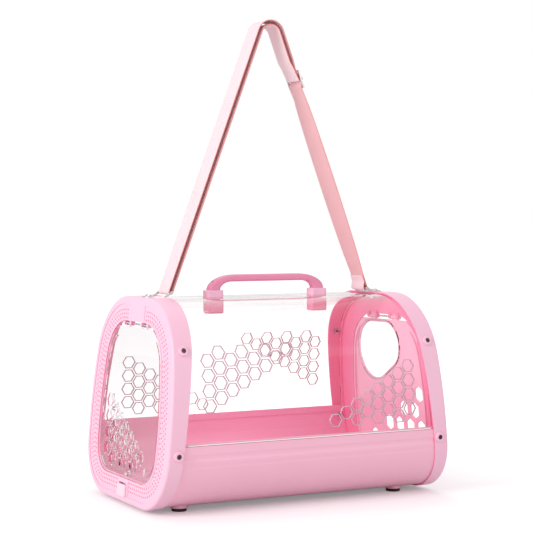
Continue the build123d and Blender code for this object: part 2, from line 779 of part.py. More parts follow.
# Strap brackets on the caps: head plate, bent arms and a bar for the webbing
bar_z = cap_top + bar_rise
arm_place = bar_length / 2 - arm_width / 2
for side, name in ((-1, "left_strap_bracket"), (1, "right_strap_bracket")):
    with BuildPart() as bracket:
        with BuildSketch(Plane.XY.offset(cap_top)):
            with BuildLine():
                Polyline(
                    (side * bracket_x, -bracket_head_r),
                    (side * (bracket_bend_x + arm_width), -bar_length / 2),
                    (side * bracket_bend_x, -bar_length / 2),
                    (side * bracket_bend_x, bar_length / 2),
                    (side * (bracket_bend_x + arm_width), bar_length / 2),
                    (side * bracket_x, bracket_head_r),
                    close=True,
                )
            make_face()
            with Locations((side * bracket_x, 0)):
                Circle(bracket_head_r)
                Circle(bracket_screw_r + screw_hole_fit, mode=Mode.SUBTRACT)
        extrude(amount=bracket_plate)
        for place in (-arm_place, arm_place):
            with BuildSketch(Plane.XZ.offset(-place - arm_width / 2)):
                with BuildLine():
                    Polyline(
                        (side * (bracket_bend_x + 1.0), cap_top),
                        (side * (bracket_bend_x + 1.0), cap_top + bracket_plate),
                        (side * (bar_x + 1.0), bar_z + 1.5),
                        (side * (bar_x - 1.0), bar_z - 1.5),
                        (side * bracket_bend_x, cap_top),
                        close=True,
                    )
                make_face()
            extrude(amount=arm_width)
        with BuildSketch(Plane.XZ.offset(-bar_length / 2)):
            with Locations((side * bar_x, bar_z)):
                Circle(bar_r)
        extrude(amount=bar_length)
    export_piece(bracket.part, name)

bracket_screw_parts, bracket_nut_parts = [], []
for side in (-1, 1):
    with BuildPart() as bracket_screw:
        with BuildSketch(Plane.XY.offset(cap_top + bracket_plate)):
            with Locations((side * bracket_x, 0)):
                Circle(bracket_head_screw_r)
        extrude(amount=bracket_screw_head)
        fillet(bracket_screw.faces().sort_by(Axis.Z)[-1].edges(), 1.2)
        with BuildSketch(Plane.XY.offset(cap_top + bracket_plate)):
            with Locations((side * bracket_x, 0)):
                Circle(bracket_screw_r)
        extrude(amount=-(bracket_plate + panel_inner + nut_gap + bracket_nut + screw_tip))
    bracket_screw_parts.append(bracket_screw.part)
    with BuildPart() as bracket_nut_piece:
        with BuildSketch(Plane.XY.offset(shell_under - nut_gap)):
            with Locations((side * bracket_x, 0)):
                RegularPolygon(bracket_nut_flat / 2, 6, major_radius=False)
                Circle(bracket_screw_r + pin_fit, mode=Mode.SUBTRACT)
        extrude(amount=-bracket_nut)
    bracket_nut_parts.append(bracket_nut_piece.part)
export_piece(Compound(children=bracket_screw_parts), "bracket_screws")
export_piece(Compound(children=bracket_nut_parts), "bracket_nuts")

# Shoulder strap: one long webbing. It is sewn round the right bar, weaves
# through the slider, runs over the top and down the left leg, turns round the
# left bar and comes back beside itself to the slider's middle bar.
eye_r = bar_r + strap_fit + strap_wall / 2
slider_eye_r = slider_bar_r + weave_fit + strap_wall / 2
slider_out = eye_r + slider_stand
lean = atan2(strap_lean, 1.0)
lean_angle = degrees(lean)
apex_z = bar_z + bar_x / strap_lean - strap_top_r / sin(lean)
slider_along = (cap_top + slider_rise - bar_z) / cos(lean)


def leg_point(along, out, side=1):
    """Point beside a strap leg, measured from its bar along the leg and outwards."""
    x = bar_x - along * sin(lean) + out * cos(lean)
    return (side * x, bar_z + along * cos(lean) + out * sin(lean))


def slider_point(along, out):
    """Point beside the right leg, measured from the slider's middle bar."""
    return leg_point(slider_along + along, slider_out + out)


def apex_point(out, side):
    """Point where the round top of the strap meets a straight leg."""
    radius = strap_top_r + out
    return (side * radius * cos(lean), apex_z + radius * sin(lean))


def webbing_bend(start, finish):
    """S-bend of two equal arcs that leaves and arrives along the leg."""
    middle = ((start[0] + finish[0]) / 2, (start[1] + finish[1]) / 2)
    run = (finish[0] - start[0]) * -sin(lean) + (finish[1] - start[1]) * cos(lean)
    heading = (-sin(lean), cos(lean)) if run > 0 else (sin(lean), -cos(lean))
    TangentArc(start, middle, tangent=heading)
    TangentArc(finish, middle, tangent=(-heading[0], -heading[1]))


webbing_under = -slider_eye_r
webbing_over = slider_eye_r + strap_wall + weave_fit / 2
apex = (0, apex_z)
left_bar = (-bar_x, bar_z)
right_bar = (bar_x, bar_z)
top_right = slider_point(slider_run, -slider_stand)
inner_start = slider_point(slider_run, -slider_stand - 2 * eye_r)
inner_under = slider_point(slider_pitch, webbing_under - strap_wall - weave_fit)
tail_out = eye_r - strap_wall - weave_fit / 2
with BuildPart() as shoulder_strap:
    with BuildSketch(Plane.XZ.offset(-strap_width / 2)):
        with BuildLine() as webbing:
            # Sewn eye on the right bar, and its short tail
            Line(leg_point(tail_length, tail_out), leg_point(tail_bend, tail_out))
            webbing_bend(leg_point(tail_bend, tail_out), leg_point(0, -eye_r))
            CenterArc(right_bar, eye_r, 180 + lean_angle, 180)
            Line(leg_point(0, eye_r), slider_point(-slider_run, -slider_stand))
            # Weave under, over and under the three bars of the slider
            weave = [slider_point(-slider_run, -slider_stand), slider_point(-slider_pitch, webbing_under)]
            weave += [slider_point(0, webbing_over), slider_point(slider_pitch, webbing_under), top_right]
            for start, finish in zip(weave, weave[1:]):
                webbing_bend(start, finish)
            # Outer layer over the top, down to the left bar and round it
            Line(top_right, apex_point(eye_r, 1))
            CenterArc(apex, strap_top_r + eye_r, lean_angle, 180 - 2 * lean_angle)
            Line(apex_point(eye_r, -1), leg_point(0, eye_r, -1))
            CenterArc(left_bar, eye_r, 180 - lean_angle, 180)
            # Inner layer back over the top to the slider's middle bar
            Line(leg_point(0, -eye_r, -1), apex_point(-eye_r, -1))
            CenterArc(apex, strap_top_r - eye_r, lean_angle, 180 - 2 * lean_angle)
            Line(apex_point(-eye_r, 1), inner_start)
            webbing_bend(inner_start, inner_under)
            webbing_bend(inner_under, slider_point(0, webbing_under))
            CenterArc(slider_point(0, 0), slider_eye_r, 180 + lean_angle, wrap_angle)
        trace(webbing.edges(), strap_wall)
    extrude(amount=strap_width)
export_piece(shoulder_strap.part, "shoulder_strap")

with BuildPart() as strap_slider:
    with BuildSketch(Plane.XZ.offset(-slider_width / 2)):
        for along in (-slider_pitch, 0, slider_pitch):
            with Locations(slider_point(along, 0)):
                Circle(slider_bar_r)
    extrude(amount=slider_width)
    for place in (-slider_width / 2, slider_width / 2 - slider_rail):
        with BuildSketch(Plane.XZ.offset(place)):
            with Locations(slider_point(0, 0)):
                SlotCenterToCenter(2 * slider_pitch, 2 * slider_bar_r, rotation=90 + lean_angle)
        extrude(amount=slider_rail)
export_piece(strap_slider.part, "strap_slider")
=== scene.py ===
import math

import bmesh
import bpy
from bpy.props import FloatProperty, FloatVectorProperty, IntProperty, PointerProperty
from mathutils import Matrix, Vector


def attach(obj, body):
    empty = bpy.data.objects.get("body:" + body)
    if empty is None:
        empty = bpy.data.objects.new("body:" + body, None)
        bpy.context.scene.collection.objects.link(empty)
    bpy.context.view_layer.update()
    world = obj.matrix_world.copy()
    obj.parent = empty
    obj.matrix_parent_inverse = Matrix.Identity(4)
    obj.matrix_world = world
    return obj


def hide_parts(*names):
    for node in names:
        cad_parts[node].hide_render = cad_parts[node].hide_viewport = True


bl_info = {
    "name": "Hard Pet Carrier",
    "version": (1, 0, 0),
    "blender": (4, 5, 0),
    "location": "3D View > Sidebar > Carrier",
    "description": "Finishes and details of a hard pet carrier with clear shell, end doors and strap",
    "category": "Object",
}

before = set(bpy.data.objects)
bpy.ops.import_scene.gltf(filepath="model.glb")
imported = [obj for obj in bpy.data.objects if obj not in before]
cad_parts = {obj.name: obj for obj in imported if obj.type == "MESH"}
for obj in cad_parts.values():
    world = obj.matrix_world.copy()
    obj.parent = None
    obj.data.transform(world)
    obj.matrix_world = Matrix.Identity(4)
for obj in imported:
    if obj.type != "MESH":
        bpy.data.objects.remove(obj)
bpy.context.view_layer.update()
FINISHES = {}
CARRIER = "carrier"
END_LEAN = math.radians(5.26)
FOOT_LIFT = 0.005
HALF_LENGTH = 0.238
INNER_FACE = 0.2
UV_MARGIN = 0.05
EDGE_FROM = 0.0185
HALF_WIDTH = 0.1546
HIGH = 0.2986
BELLY = 0.104
SIDE_R = 0.576
SHOULDER_R = 0.105
LOW_R = 0.080
SIDE_Y = HALF_WIDTH - SIDE_R
SHELL_INSET = 0.0022
VENT_PITCH = 0.021
VENT_FLAT = 0.0174
VENT_OUTER_X = 0.164
VENT_MIDDLE = 0.173
BACK_VENT_DROP = 0.005
VENT_COLUMNS = (4, 4, 3, 3, 2, 2, 1, 1)
TRAY_HEIGHT = 0.097
SEAM_GAP = 0.0008
HAIR = 0.0001
SEAM_SINK = 0.0003
SEAM_DEPTH = 0.0016
SHEET_EDGE_TOP = 0.0022
SHEET_EDGE_DEPTH = 0.0004
STRIP_END = 0.03

# Perforations: the rows' insets from the outline, and the plain pads as half width and height
HOLE_ROWS = (0.0185, 0.0245, 0.0303, 0.0360)
HOLE_STEP = 0.0005
HOLE_SINK = 0.00078
HINGE_PAD = (0.0335, 0.2)
LATCH_PAD = (0.0235, 0.1)
INNER_ROW_SPAN = (0.052, 0.218)
SHORTEST_RUN = 40
STAGGER = 7


def shade(red, green, blue):
    """Linear colour of a tone given in display values from 0 to 255."""
    tone = []
    for value in (red, green, blue):
        value /= 255
        tone.append(value / 12.92 if value <= 0.04045 else ((value + 0.055) / 1.055) ** 2.4)
    return tuple(tone)


def tone_property(name, description, default):
    return FloatVectorProperty(
        name=name, description=description, subtype="COLOR", size=3, min=0, max=1, default=shade(*default)
    )


class CarrierColours(bpy.types.PropertyGroup):
    """Colours of the carrier's plastics, webbing and metal."""

    caps: tone_property("Caps", "Outer faces of the moulded end caps, latches and washers", (249, 195, 217))
    # Painted shade: a deeper, darker pink for faces that look into the carrier, standing in for the shade and
    # pink bounce light there.
    caps_inside_shade: tone_property("Caps inside", "Inner faces of the end caps", (255, 146, 184))
    latches: tone_property("Latches", "Thumb plates of the latches", (250, 212, 227))
    tray: tone_property("Tray", "Outer faces of the base tray", (252, 190, 212))
    # Painted shade: a deeper, darker pink for faces that look into the carrier, standing in for the shade and
    # pink bounce light there.
    tray_inside_shade: tone_property("Tray inside", "Inner faces of the base tray", (255, 172, 204))
    floor: tone_property("Floor plate", "Plate on the tray's ribs", (246, 168, 198))
    door: tone_property("Moulded door", "Outer face of the door with the look-out window", (250, 192, 214))
    # Painted shade: a deeper, darker pink for faces that look into the carrier, standing in for the shade and
    # pink bounce light there.
    door_inside_shade: tone_property("Door inside", "Inner face of that door", (255, 194, 216))
    handle: tone_property("Handle", "Grip of the handle", (236, 146, 180))
    blocks: tone_property("Handle blocks", "Blocks under the clear shell", (236, 140, 168))
    clear: tone_property("Clear plastic", "Clear shell, clear door and window pane", (255, 254, 254))
    # Painted shade: the slight grey of this tint stands in for the shade seen through the door and the shell
    # behind it.
    clear_door: tone_property("Clear door", "Clear door of the left end", (239, 237, 238))
    # Painted reflection: the pink tint given to clear plastic seen at a slant, in streaks.
    clear_slant_reflection: tone_property("Clear edge", "Clear plastic seen at a slant", (226, 160, 176))
    # Partly the frosted cut walls of the vents, partly painted shade: the darker pink stands in for the shade in
    # those walls.
    cut_edge: tone_property("Cut edges", "Edges of the vents cut in the clear shell", (214, 176, 190))
    seam: tone_property("Seam", "Shadow between the tray and the clear shell", (214, 92, 122))
    webbing: tone_property("Webbing", "Outer face of the shoulder strap", (251, 222, 227))
    # Painted shade: the inner face of the webbing loop lies in shade, so it gets this darker tone.
    webbing_inside_shade: tone_property("Webbing inside", "Inner face of the shoulder strap", (240, 186, 190))
    webbing_edge: tone_property("Webbing edge", "Woven edges of the shoulder strap", (238, 148, 144))
    thread: tone_property("Thread", "Stitches of the strap", (250, 214, 218))
    holes: tone_property("Perforations", "Shade inside the small holes of the end caps", (226, 92, 128))
    metal: tone_property("Metal", "Brackets, slider, pins and nuts", (214, 207, 207))
    screws: tone_property("Screws", "Dark screws of the end caps", (92, 70, 76))
    rubber: tone_property("Rubber", "Feet", (46, 38, 40))


class CarrierSizes(bpy.types.PropertyGroup):
    """Sizes of the details that are made here."""

    hole_radius: FloatProperty(
        name="Hole radius", description="Radius of a perforation", default=0.0014, min=0.0003, unit="LENGTH"
    )
    hole_spacing: FloatProperty(
        name="Hole spacing", description="Distance between perforations in a row", default=0.0070, min=0.002,
        unit="LENGTH",
    )
    strap_width: FloatProperty(
        name="Strap width", description="Width of the webbing", default=0.038, min=0.01, unit="LENGTH"
    )
    strap_wall: FloatProperty(
        name="Strap thickness", description="Thickness of the webbing", default=0.0016, min=0.0005,
        unit="LENGTH",
    )
    strap_turn: FloatProperty(
        name="Strap turn", description="How far the single layer turns between its ends",
        default=math.radians(10), unit="ROTATION",
    )
    stitch_length: FloatProperty(
        name="Stitch length", description="Length of one stitch", default=0.0026, min=0.0005, unit="LENGTH"
    )


class CarrierStudio(bpy.types.PropertyGroup):
    """Lamps and lens."""

    lens: FloatProperty(
        name="Lens", description="Focal length", default=105.37, min=10, unit="CAMERA"
    )
    surround: FloatProperty(
        name="Surround", description="Brightness of the room on the object", default=0.68, min=0
    )
    key: FloatProperty(
        name="Key lamp", description="Power of the large lamp", default=58, min=0, unit="POWER"
    )
    fill: FloatProperty(
        name="Fill lamp", description="Power of the side lamp", default=9, min=0, unit="POWER"
    )
    bend_steps: IntProperty(
        name="Bend steps", description="Points in each quarter turn of a bend", default=9, min=3
    )


# Shader groups and materials


def new_group(name, inputs, outputs):
    """Empty shader group with typed inputs and outputs."""
    tree = bpy.data.node_groups.new(name, "ShaderNodeTree")
    for label, kind, value in inputs:
        socket = tree.interface.new_socket(name=label, in_out="INPUT", socket_type="NodeSocket" + kind)
        if value is not None:
            socket.default_value = value
    for label, kind in outputs:
        tree.interface.new_socket(name=label, in_out="OUTPUT", socket_type="NodeSocket" + kind)
    start = tree.nodes.new("NodeGroupInput")
    end = tree.nodes.new("NodeGroupOutput")
    return tree, start.outputs, end.inputs


def add_node(tree, kind, settings=None, **values):
    """New node with its settings, its input values and links from other sockets."""
    node = tree.nodes.new(kind)
    for key, value in (settings or {}).items():
        setattr(node, key, value)
    for key, value in values.items():
        by_place = key[0] == "i" and key[1:].isdigit()
        socket = node.inputs[int(key[1:]) if by_place else key.replace("_", " ")]
        if isinstance(value, bpy.types.NodeSocket):
            tree.links.new(value, socket)
        else:
            socket.default_value = value
    return node


def math_node(tree, operation, first, second=0.0, third=0.0):
    """Result of a math node; third is what MULTIPLY_ADD adds."""
    return add_node(
        tree, "ShaderNodeMath", {"operation": operation}, i0=first, i1=second, i2=third
    ).outputs[0]


def vector_node(tree, operation, first, **values):
    """Result of a vector math node: a number for lengths and dot products, else a vector."""
    node = add_node(tree, "ShaderNodeVectorMath", {"operation": operation}, i0=first, **values)
    return node.outputs["Value" if operation in ("DOT_PRODUCT", "LENGTH") else "Vector"]


def noise(tree, vector, scale, detail, **values):
    return add_node(
        tree, "ShaderNodeTexNoise", None, Vector=vector, Scale=scale, Detail=detail, **values
    ).outputs["Fac"]


def stretch(tree, vector, scale):
    return add_node(
        tree, "ShaderNodeMapping", {"vector_type": "POINT"}, Vector=vector, Scale=scale
    ).outputs[0]


def ramp(tree, value, low, high, first, last):
    """A value carried from one range to another and kept inside it."""
    return add_node(
        tree, "ShaderNodeMapRange", {"clamp": True}, i0=value, i1=low, i2=high, i3=first, i4=last
    ).outputs[0]


def mix_colours(tree, share, first, second):
    return add_node(
        tree, "ShaderNodeMix", {"data_type": "RGBA"}, i0=share, i6=first, i7=second
    ).outputs[2]


def deliver(tree, made, **results):
    """Link results to the outputs of a group."""
    for label, result in results.items():
        tree.links.new(result, made[label])


def moulded_group():
    """Fine moulding grain with slow changes of shade and gloss, and a painted shade tone on faces that look
    towards the middle.
    """
    tree, given, made = new_group(
        "moulded_finish",
        [
            ("Colour", "Color", (0.8, 0.5, 0.6, 1)),
            ("Inside", "Color", (0.8, 0.5, 0.6, 1)),
            ("Vector", "Vector", None),
            ("Normal", "Vector", None),
            ("Middle", "Vector", (0.0, 0.0, 0.14)),
            ("Grain", "Float", 900.0),
            ("Drift", "Float", 0.05),
            ("Gloss", "Float", 0.35),
        ],
        [("Colour", "Color"), ("Roughness", "Float"), ("Height", "Float")],
    )
    grain = noise(tree, given["Vector"], given["Grain"], 3.0, Roughness=0.6)
    swing = math_node(tree, "SUBTRACT", noise(tree, given["Vector"], 9.0, 2.0), 0.5)
    spoke = vector_node(tree, "SUBTRACT", given["Vector"], i1=given["Middle"])
    facing = vector_node(tree, "DOT_PRODUCT", vector_node(tree, "NORMALIZE", spoke), i1=given["Normal"])
    # Painted shade: faces that look towards the middle take the inner-face tone in place of the outer colour.
    inwards = ramp(tree, facing, 0.12, -0.12, 0.0, 1.0)
    side = mix_colours(tree, inwards, given["Colour"], given["Inside"])
    gain = math_node(tree, "MULTIPLY_ADD", swing, given["Drift"], 1.0)
    speckle = math_node(tree, "MULTIPLY", math_node(tree, "SUBTRACT", grain, 0.5), 0.16)
    slow = math_node(tree, "MULTIPLY_ADD", swing, 0.10, speckle)
    deliver(
        tree, made, Colour=vector_node(tree, "SCALE", side, Scale=gain), Height=grain,
        Roughness=math_node(tree, "ADD", given["Gloss"], slow),
    )


def clear_group():
    """Slow waviness of bent clear sheet, faint wipe marks in its gloss, and streaks for its painted reflection.
    """
    tree, given, made = new_group(
        "clear_sheet",
        [("Vector", "Vector", None), ("Wave", "Float", 7.0), ("Gloss", "Float", 0.02)],
        [("Roughness", "Float"), ("Height", "Float"), ("Streak", "Float")],
    )
    wipe = noise(tree, given["Vector"], 60.0, 4.0)
    deliver(
        tree, made, Streak=noise(tree, stretch(tree, given["Vector"], (2, 130, 90)), 1.0, 2.0),
        Height=noise(tree, given["Vector"], given["Wave"], 1.0),
        Roughness=math_node(tree, "MULTIPLY_ADD", wipe, 0.015, given["Gloss"]),
    )


def brushed_group():
    """Fine streaks of brushed or plated metal."""
    tree, given, made = new_group(
        "plated_metal",
        [("Colour", "Color", (0.7, 0.7, 0.7, 1)), ("Vector", "Vector", None), ("Gloss", "Float", 0.25)],
        [("Colour", "Color"), ("Roughness", "Float"), ("Height", "Float")],
    )
    streak = noise(tree, stretch(tree, given["Vector"], (1500, 120, 1500)), 1.0, 3.0)
    gain = math_node(tree, "MULTIPLY_ADD", noise(tree, given["Vector"], 140.0, 2.0), 0.16, 0.92)
    deliver(
        tree, made, Colour=vector_node(tree, "SCALE", given["Colour"], Scale=gain), Height=streak,
        Roughness=math_node(tree, "MULTIPLY_ADD", streak, 0.18, given["Gloss"]),
    )


def weave_group():
    """Plain-woven webbing: warp ribs along the strap, crossed by fine weft."""
    tree, given, made = new_group(
        "webbing_weave",
        [("Colour", "Color", (0.8, 0.5, 0.5, 1)), ("Vector", "Vector", None), ("Yarn", "Float", 0.0011)],
        [("Colour", "Color"), ("Height", "Float")],
    )
    parts = add_node(tree, "ShaderNodeSeparateXYZ", None, Vector=given["Vector"])
    across, along = (math_node(tree, "DIVIDE", parts.outputs[i], given["Yarn"]) for i in (0, 1))
    shifted = math_node(tree, "MULTIPLY_ADD", math_node(tree, "FLOOR", across), 0.5, along)
    warp, weft = (
        math_node(tree, "ABSOLUTE", math_node(tree, "SINE", math_node(tree, "MULTIPLY", way, math.pi)))
        for way in (across, shifted)
    )
    height = math_node(
        tree, "MULTIPLY", math_node(tree, "POWER", warp, 0.6), math_node(tree, "POWER", weft, 0.5)
    )
    # Painted shade: the colour darkens where the weave's height is low, between the yarns.
    dark = math_node(tree, "MULTIPLY_ADD", height, 0.20, 0.84)
    fibre = noise(tree, given["Vector"], 420.0, 3.0, Roughness=0.7)
    fuzz = math_node(tree, "MULTIPLY_ADD", fibre, 0.10, dark)
    slow = math_node(tree, "SUBTRACT", noise(tree, given["Vector"], 14.0, 1.0), 0.5)
    drift = math_node(tree, "MULTIPLY_ADD", slow, 0.10, fuzz)
    deliver(tree, made, Colour=vector_node(tree, "SCALE", given["Colour"], Scale=drift), Height=height)


def blank_material(name):
    material = bpy.data.materials.new(name + "_finish")
    material.use_nodes = True
    tree = material.node_tree
    surface = tree.nodes["Principled BSDF"]
    return material, tree, surface


def place_group(tree, group, vector="Object", **values):
    """Put a shared group in a material, fed by object coordinates or the piece's own UV map."""
    node = tree.nodes.new("ShaderNodeGroup")
    node.node_tree = bpy.data.node_groups[group]
    coordinates = tree.nodes.new("ShaderNodeTexCoord")
    tree.links.new(coordinates.outputs[vector], node.inputs["Vector"])
    if "Normal" in node.inputs:
        tree.links.new(coordinates.outputs["Normal"], node.inputs["Normal"])
    for key, value in values.items():
        node.inputs[key].default_value = value
    return node


def link_finish(tree, surface, node, distance, strength=1.0, **values):
    """Join a group's colour, gloss and height to a surface, and set its plain values."""
    for label, socket in (("Colour", "Base Color"), ("Roughness", "Roughness")):
        if label in node.outputs:
            tree.links.new(node.outputs[label], surface.inputs[socket])
    bump = add_node(
        tree, "ShaderNodeBump", None, Strength=strength, Distance=distance, Height=node.outputs["Height"]
    )
    tree.links.new(bump.outputs[0], surface.inputs["Normal"])
    for label, value in values.items():
        surface.inputs[label.replace("_", " ")].default_value = value


def moulded_material(name, tone, gloss=0.34, grain=900.0, depth=0.00003, inside=None):
    """Satin moulded plastic, with a painted shade tone on faces that look into the carrier."""
    material, tree, surface = blank_material(name)
    inner = (*(inside or tone), 1)
    node = place_group(tree, "moulded_finish", Colour=(*tone, 1), Inside=inner, Gloss=gloss, Grain=grain)
    link_finish(tree, surface, node, depth, IOR=1.5)
    return material


def clear_material(name, tone, glow, reflection_share, wave=7.0, depth=0.0006, gloss=0.0):
    """Clear plastic that lets lamp light through to what is inside, with a painted pink reflection in streaks
    where it is seen at a slant.
    """
    material, tree, surface = blank_material(name)
    node = place_group(tree, "clear_sheet", Wave=wave, Gloss=gloss)
    link_finish(tree, surface, node, depth, 0.35, IOR=1.28, Transmission_Weight=1.0)
    # Painted reflection: at a slant the base colour turns towards the pink reflection tone, in streaks.
    slant = add_node(tree, "ShaderNodeLayerWeight", None, Blend=0.5)
    edge = ramp(tree, slant.outputs["Facing"], 0.72, 0.97, 0.0, reflection_share)
    painted_reflection = math_node(tree, "MULTIPLY", edge, ramp(tree, node.outputs["Streak"], 0.35, 0.65, 0.35, 1.0))
    tree.links.new(mix_colours(tree, painted_reflection, (*tone, 1), (*glow, 1)), surface.inputs["Base Color"])
    through = add_node(tree, "ShaderNodeBsdfTransparent", None, Color=(*[0.5 + 0.5 * c for c in tone], 1))
    rays = tree.nodes.new("ShaderNodeLightPath")
    either = math_node(tree, "MAXIMUM", rays.outputs["Is Shadow Ray"], rays.outputs["Is Diffuse Ray"])
    mix = add_node(tree, "ShaderNodeMixShader", None, i0=either)
    tree.links.new(surface.outputs[0], mix.inputs[1])
    tree.links.new(through.outputs[0], mix.inputs[2])
    tree.links.new(mix.outputs[0], tree.nodes["Material Output"].inputs["Surface"])
    return material


def metal_material(name, tone, gloss=0.16):
    material, tree, surface = blank_material(name)
    node = place_group(tree, "plated_metal", Colour=(*tone, 1), Gloss=gloss)
    link_finish(tree, surface, node, 0.00001, 0.5, Metallic=1.0)
    return material


def webbing_material(name, outer, inner, edge):
    """Woven webbing; the inner face lies beyond the outer face in the UV map and takes a painted shade tone, and
    both edges take a darker salmon tone.
    """
    material, tree, surface = blank_material(name)
    node = place_group(tree, "webbing_weave", vector="UV")
    coordinates = tree.nodes.new("ShaderNodeTexCoord")
    parts = add_node(tree, "ShaderNodeSeparateXYZ", None, Vector=coordinates.outputs["UV"])
    # Painted shade: polygons of the inner face, placed beyond the outer face in the UV map, get the darker tone.
    inside = math_node(tree, "GREATER_THAN", parts.outputs[0], INNER_FACE / 2)
    face = mix_colours(tree, inside, (*outer, 1), (*inner, 1))
    middle = math_node(tree, "MULTIPLY_ADD", inside, INNER_FACE, UV_MARGIN)
    across = math_node(tree, "ABSOLUTE", math_node(tree, "SUBTRACT", parts.outputs[0], middle))
    rim = math_node(tree, "GREATER_THAN", across, EDGE_FROM)
    tree.links.new(mix_colours(tree, rim, face, (*edge, 1)), node.inputs["Colour"])
    link_finish(tree, surface, node, 0.0003, 0.7, Roughness=0.62, Sheen_Weight=0.35, Sheen_Roughness=0.4)
    return material


def thread_material(name, tone):
    material, tree, surface = blank_material(name)
    node = place_group(
        tree, "moulded_finish", Colour=(*tone, 1), Inside=(*tone, 1), Gloss=0.55, Grain=2500.0, Drift=0.1
    )
    link_finish(tree, surface, node, 0.0001, Sheen_Weight=0.2)
    return material


def material(name):
    """A finish by name, made the first time it is asked for."""
    if name in FINISHES:
        return FINISHES[name]
    tones = bpy.context.scene.carrier_colours
    makers = {
        "cap_plastic": lambda: moulded_material(name, tones.caps, 0.36, inside=tones.caps_inside_shade),
        "tray_plastic": lambda: moulded_material(name, tones.tray, 0.30, 700.0, inside=tones.tray_inside_shade),
        "floor_plastic": lambda: moulded_material(name, tones.floor, 0.42, 500.0, 0.00005),
        "door_plastic": lambda: moulded_material(name, tones.door, 0.34, inside=tones.door_inside_shade),
        "handle_plastic": lambda: moulded_material(name, tones.handle, 0.40, 1300.0, 0.00006),
        "block_plastic": lambda: moulded_material(name, tones.blocks, 0.34),
        "collar_plastic": lambda: moulded_material(name, tones.caps, 0.30),
        "latch_plastic": lambda: moulded_material(name, tones.latches, 0.30),
        "cut_edge": lambda: moulded_material(name, tones.cut_edge, 0.30, 1500.0),
        "seam_shade": lambda: moulded_material(name, tones.seam, 0.50),
        "sheet_edge": lambda: moulded_material(name, tones.clear, 0.20),
        "clear_shell_plastic": lambda: clear_material(name, tones.clear, tones.clear_slant_reflection, 0.95),
        "clear_door_plastic": lambda: clear_material(
            name, tones.clear_door, tones.clear_slant_reflection, 0.4, 16.0, 0.0004
        ),
        "clear_pane_plastic": lambda: clear_material(name, tones.clear, tones.clear_slant_reflection, 0.4, 10.0, 0.0004),
        "plated_steel": lambda: metal_material(name, tones.metal),
        "dark_screw_steel": lambda: metal_material(name, tones.screws, 0.28),
        "brass": lambda: metal_material(name, shade(206, 160, 96), 0.22),
        "foot_rubber": lambda: moulded_material(name, tones.rubber, 0.70, 1600.0, 0.00015),
        "perforation_shade": lambda: moulded_material(name, tones.holes, 0.60, 1200.0),
        "webbing": lambda: webbing_material(
            name, tones.webbing, tones.webbing_inside_shade, tones.webbing_edge
        ),
        "thread": lambda: thread_material(name, tones.thread),
    }
    FINISHES[name] = makers[name]()
    return FINISHES[name]


def finish_nodes(finish, *names):
    """Give CAD nodes a finish through their material slots."""
    for name in names:
        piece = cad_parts[name]
        if not piece.material_slots:
            piece.data.materials.append(material(finish))
        for place in piece.material_slots:
            place.material = material(finish)


def new_piece(name, mesh, body, finish=None):
    """Put a finished mesh in the scene and let it ride on a body."""
    piece = bpy.data.objects.new(name, mesh)
    bpy.context.scene.collection.objects.link(piece)
    if finish:
        mesh.materials.append(material(finish))
    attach(piece, body)
    return piece


# Geometry node patterns


def new_pattern(name, sockets):
    """Geometry node tree that turns the piece's guide lines into a pattern."""
    tree = bpy.data.node_groups.new(name, "GeometryNodeTree")
    tree.interface.new_socket(name="Geometry", in_out="INPUT", socket_type="NodeSocketGeometry")
    for label, kind, value in sockets:
        socket = tree.interface.new_socket(name=label, in_out="INPUT", socket_type="NodeSocket" + kind)
        if value is not None:
            socket.default_value = value
    tree.interface.new_socket(name="Finish", in_out="INPUT", socket_type="NodeSocketMaterial")
    tree.interface.new_socket(name="Geometry", in_out="OUTPUT", socket_type="NodeSocketGeometry")
    return tree, tree.nodes.new("NodeGroupInput").outputs, tree.nodes.new("NodeGroupOutput").inputs


def points_on_guides(tree, given, spacing):
    curve = add_node(tree, "GeometryNodeMeshToCurve", None, Mesh=given["Geometry"])
    return add_node(
        tree, "GeometryNodeCurveToPoints", {"mode": "LENGTH"}, Curve=curve.outputs[0], Length=spacing
    )


def close_pattern(tree, given, made, geometry):
    """Give plain geometry the pattern's finish and hand it over."""
    painted = add_node(
        tree, "GeometryNodeSetMaterial", None, Geometry=geometry, Material=given["Finish"]
    )
    tree.links.new(painted.outputs[0], made["Geometry"])


def realize(tree, instances):
    return add_node(tree, "GeometryNodeRealizeInstances", None, Geometry=instances).outputs[0]


def perforation_pattern():
    """Shallow round holes, spaced along the guide lines of an end cap."""
    tree, given, made = new_pattern(
        "perforation_pattern",
        [
            ("Hole Radius", "Float", 0.0011),
            ("Spacing", "Float", 0.007),
            ("Depth", "Float", 0.0003),
            ("Facing", "Rotation", None),
        ],
    )
    points = points_on_guides(tree, given, given["Spacing"])
    inner = math_node(tree, "MULTIPLY", given["Hole Radius"], 0.55)
    cup = add_node(
        tree, "GeometryNodeMeshCone", None, Vertices=10, Side_Segments=1, Fill_Segments=1,
        Radius_Top=inner, Radius_Bottom=given["Hole Radius"], Depth=given["Depth"],
    )
    holes = add_node(
        tree, "GeometryNodeInstanceOnPoints", None, Points=points.outputs["Points"],
        Instance=cup.outputs["Mesh"], Rotation=given["Facing"],
    )
    close_pattern(tree, given, made, realize(tree, holes.outputs[0]))
    return tree


def half_width_nodes(tree, height):
    """Half width of the clear shell's outer face at a height."""
    top_y, top_z, top_angle = corner(SHOULDER_R, HIGH - SHOULDER_R)
    widths = []
    for y, z, radius in ((SIDE_Y, BELLY, SIDE_R), (top_y, top_z, SHOULDER_R)):
        rise = math_node(tree, "SUBTRACT", height, z)
        squared = math_node(tree, "MULTIPLY", rise, rise)
        left = math_node(tree, "SUBTRACT", (radius - SHELL_INSET) ** 2, squared)
        widths.append(math_node(tree, "ADD", math_node(tree, "SQRT", left), y))
    above = math_node(tree, "GREATER_THAN", height, BELLY + SIDE_R * math.sin(top_angle))
    difference = math_node(tree, "SUBTRACT", widths[1], widths[0])
    return math_node(tree, "MULTIPLY_ADD", above, difference, widths[0])


